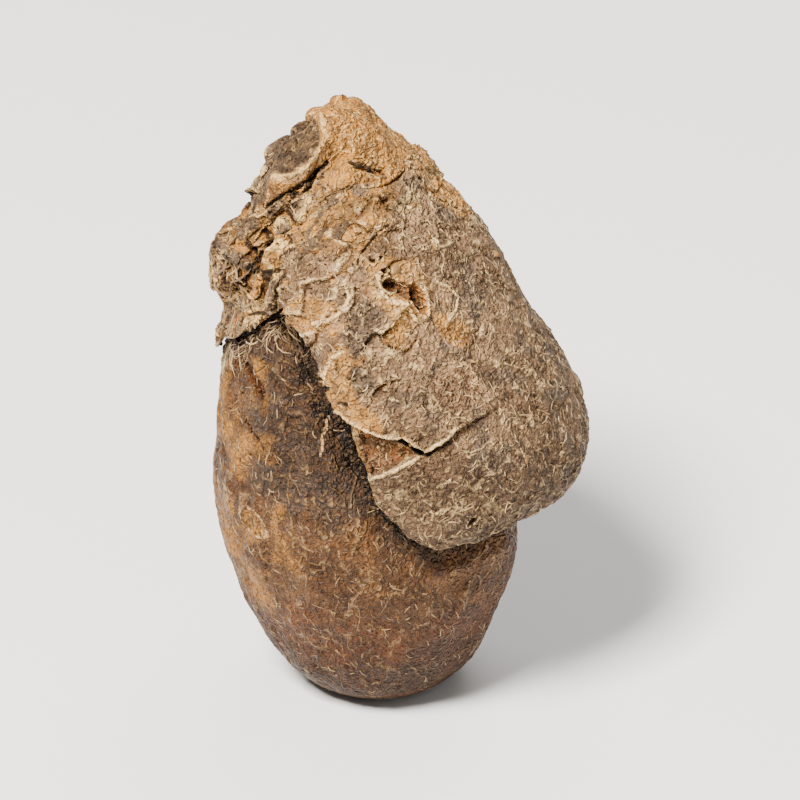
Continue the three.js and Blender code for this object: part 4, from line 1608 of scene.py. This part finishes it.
@dataclass
class Studio:
    """A pale floor, soft lights, and the camera at the front."""

    picture_width: float = 0.0575  # metres that the picture takes in, at the bulb
    distance: float = 0.55
    sensor: float = 36.0  # millimetres
    floor_size: float = 3.0
    floor_gap: float = 0.02 * MM  # keeps the floor just clear of the bulb
    lamps: tuple[Lamp, ...] = (
        Lamp("key", -38, 56, 0.55, 0.16, 13.0, (1.0, 0.955, 0.885)),
        Lamp("fill", 60, 35, 0.6, 0.5, 0.7, (1.0, 0.98, 0.95)),
        Lamp("back", 160, 55, 0.6, 0.4, 3.0, (1.0, 0.98, 0.95)),
    )
    floor_colour: Colour = (0.76, 0.755, 0.745)
    air_colour: Colour = (0.93, 0.925, 0.91)
    air_strength: float = 0.20

    def build(self) -> None:
        """Makes the floor, the lights, the air and the camera."""
        low, high = CAD_BOX
        self.aim = (low + high) / 2
        self._floor(low.z)
        for lamp in self.lamps:
            self._light(lamp)
        self._air()
        self._camera()

    def _spot(self, azimuth: float, elevation: float, away: float) -> Vector:
        """A place round the bulb. Azimuth 0 is in front of it and 90 is on its right."""
        turn, rise = math.radians(azimuth), math.radians(elevation)
        way = Vector((math.sin(turn) * math.cos(rise), -math.cos(turn) * math.cos(rise), math.sin(rise)))
        return self.aim + away * way

    def _aimed(self, name: str, data: bpy.types.ID, place: Vector) -> bpy.types.Object:
        """A light or the camera, put in a place and turned to the bulb."""
        thing = linked(name, data)
        thing.location = place
        thing.rotation_euler = (self.aim - place).to_track_quat("-Z", "Y").to_euler()
        return thing

    def _floor(self, level: float) -> None:
        """A wide matt floor just under the bulb."""
        build = bmesh.new()
        bmesh.ops.create_grid(build, x_segments=1, y_segments=1, size=self.floor_size)
        bmesh.ops.translate(build, verts=build.verts, vec=(0, 0, level - self.floor_gap))
        floor = linked("floor", mesh_of(build, "floor"))
        material, _, shader = new_material("floor")
        shader["Base Color"].default_value = (*self.floor_colour, 1)
        shader["Roughness"].default_value = 0.9
        floor.data.materials.append(material)

    def _light(self, lamp: Lamp) -> None:
        """One area light."""
        data = bpy.data.lights.new(lamp.name, "AREA")
        data.size = lamp.size
        data.energy = lamp.watts
        data.color = lamp.colour
        self._aimed(lamp.name, data, self._spot(lamp.azimuth, lamp.elevation, lamp.away))

    def _air(self) -> None:
        """The even light of the room."""
        world = bpy.data.worlds.new("air")
        world.use_nodes = True
        background = world.node_tree.nodes["Background"].inputs
        background["Color"].default_value = (*self.air_colour, 1)
        background["Strength"].default_value = self.air_strength
        bpy.context.scene.world = world

    def _camera(self) -> None:
        """The camera, far off with a long lens, as high above the bulb as the front view is."""
        data = bpy.data.cameras.new("camera")
        data.sensor_width = self.sensor
        data.lens = self.sensor * self.distance / self.picture_width
        data.clip_end = 10
        place = self._spot(0, VIEW.elevation, self.distance)
        bpy.context.scene.camera = self._aimed("camera", data, place)


# ---------------------------------------------------------------------------------------------
# The whole bulb


class Bulb:
    """Builds, dresses and registers every piece of the bulb."""

    def __init__(self) -> None:
        """Readies the materials."""
        patterns = SkinPatterns()
        self.skins = {finish: patterns.dress(finish) for finish in (INNER_FINISH, OUTER_FINISH, PLATE_FINISH)}
        chips = (FIBRE_FINISH, FLAKE_FINISH, CRUMB_FINISH)
        self.chips = {finish: patterns.dress_chips(finish) for finish in chips}

    def build(self) -> None:
        """Carves the three pieces and sets the small things on them."""
        inner, outer, plate = InnerScale(), OuterScale(), RootPlate()
        for carving in (inner, outer, plate):
            piece = carving.build()
            self._register(piece, self.skins[carving.finish])
            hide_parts(carving.part.value)
        self._curls(inner, outer, plate)
        self._strands(inner, plate)
        self._scraps(inner, outer, plate)

    def _register(self, piece: bpy.types.Object, material: bpy.types.Material) -> None:
        """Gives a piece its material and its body."""
        piece.data.materials.append(material)
        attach(piece, "root")
        LOG.info("%s: %d faces", piece.name, len(piece.data.polygons))

    def _strew(self, things: Strewn, carving: Carving, weights: np.ndarray) -> None:
        """Sets small things on a carved piece. They hang from the same root body as it."""
        piece = things.build(carving.ground, weights)
        self._register(piece, self.chips[things.finish])

    def _curls(self, *carvings: Carving) -> None:
        """Fine curls on all three pieces, fewer where painted shade and soil lie."""
        curls = (
            Fibres("inner_fibres", 900, 51, swept=0.85, slant=0.6, pale=(0.0, 0.5)),
            Fibres("outer_fibres", 900, 52, pale=(0.2, 0.9)),
            Fibres("crust_fibres", 200, 53, pale=(0.1, 0.8)),
        )
        for fibres, carving in zip(curls, carvings):
            self._strew(fibres, carving, 1.02 - carving.ground.masks[Mask.SHADE_AND_SOIL])

    def _strands(self, inner: InnerScale, plate: RootPlate) -> None:
        """Thick cords that hang down the crust's left end, and hairs that hang out from under its skirt."""
        along = (plate.ground.points - CRUST_MIDDLE) @ CRUST_ALONG
        left_end = ease(along, -4.0, -6.0) * ease(plate.ground.normals[:, 2], -0.6, 0.0)
        cords = Fibres(
            "crust_cords", 100, 54, length=(1.4, 3.0), radius=(0.05, 0.11), bend=1.4, swept=1.0,
            pale=(-0.1, 0.5), rise=(-0.8, 0.3, 0.4, 0.3, -0.6),
        )
        hairs = Fibres(
            "skirt_hairs", 260, 55, length=(0.9, 2.4), radius=(0.03, 0.07), bend=2.6, swept=1.0,
            pale=(-0.2, 0.6), rise=(-1.0, 0.6, 1.2, 1.4, 0.8),
        )
        self._strew(cords, plate, left_end)
        self._strew(hairs, inner, bell(inner.gaps[Part.PLATE], 0.8, 0.5))

    def _scraps(self, inner: InnerScale, outer: OuterScale, plate: RootPlate) -> None:
        """Curled scraps on torn edges, and crumbs in the cracks and the cleft."""
        below_top = 1 - ease((plate.ground.points - CRUST_MIDDLE) @ CRUST_UP, 1.5, 2.5)
        torn_crust = below_top * plate.ground.masks[Mask.CREAM] ** 2
        self._strew(Flakes("outer_flakes", 30, 61), outer, outer.ground.masks[Mask.CREAM] ** 2)
        self._strew(Flakes("crust_flakes", 40, 62), plate, torn_crust)
        self._strew(Crumbs("crust_crumbs", 450, 63), plate, plate.ground.masks[Mask.SHADE_AND_SOIL] ** 2)
        in_cleft = inner.ground.masks[Mask.SHADE_AND_SOIL] ** 2
        self._strew(Crumbs("cleft_crumbs", 600, 64, pale=(0.0, 0.25)), inner, in_cleft)


def main() -> None:
    """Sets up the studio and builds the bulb."""
    logging.basicConfig(level=logging.INFO, format="%(message)s")
    Studio().build()
    Bulb().build()


if __name__ == "__main__":
    main()
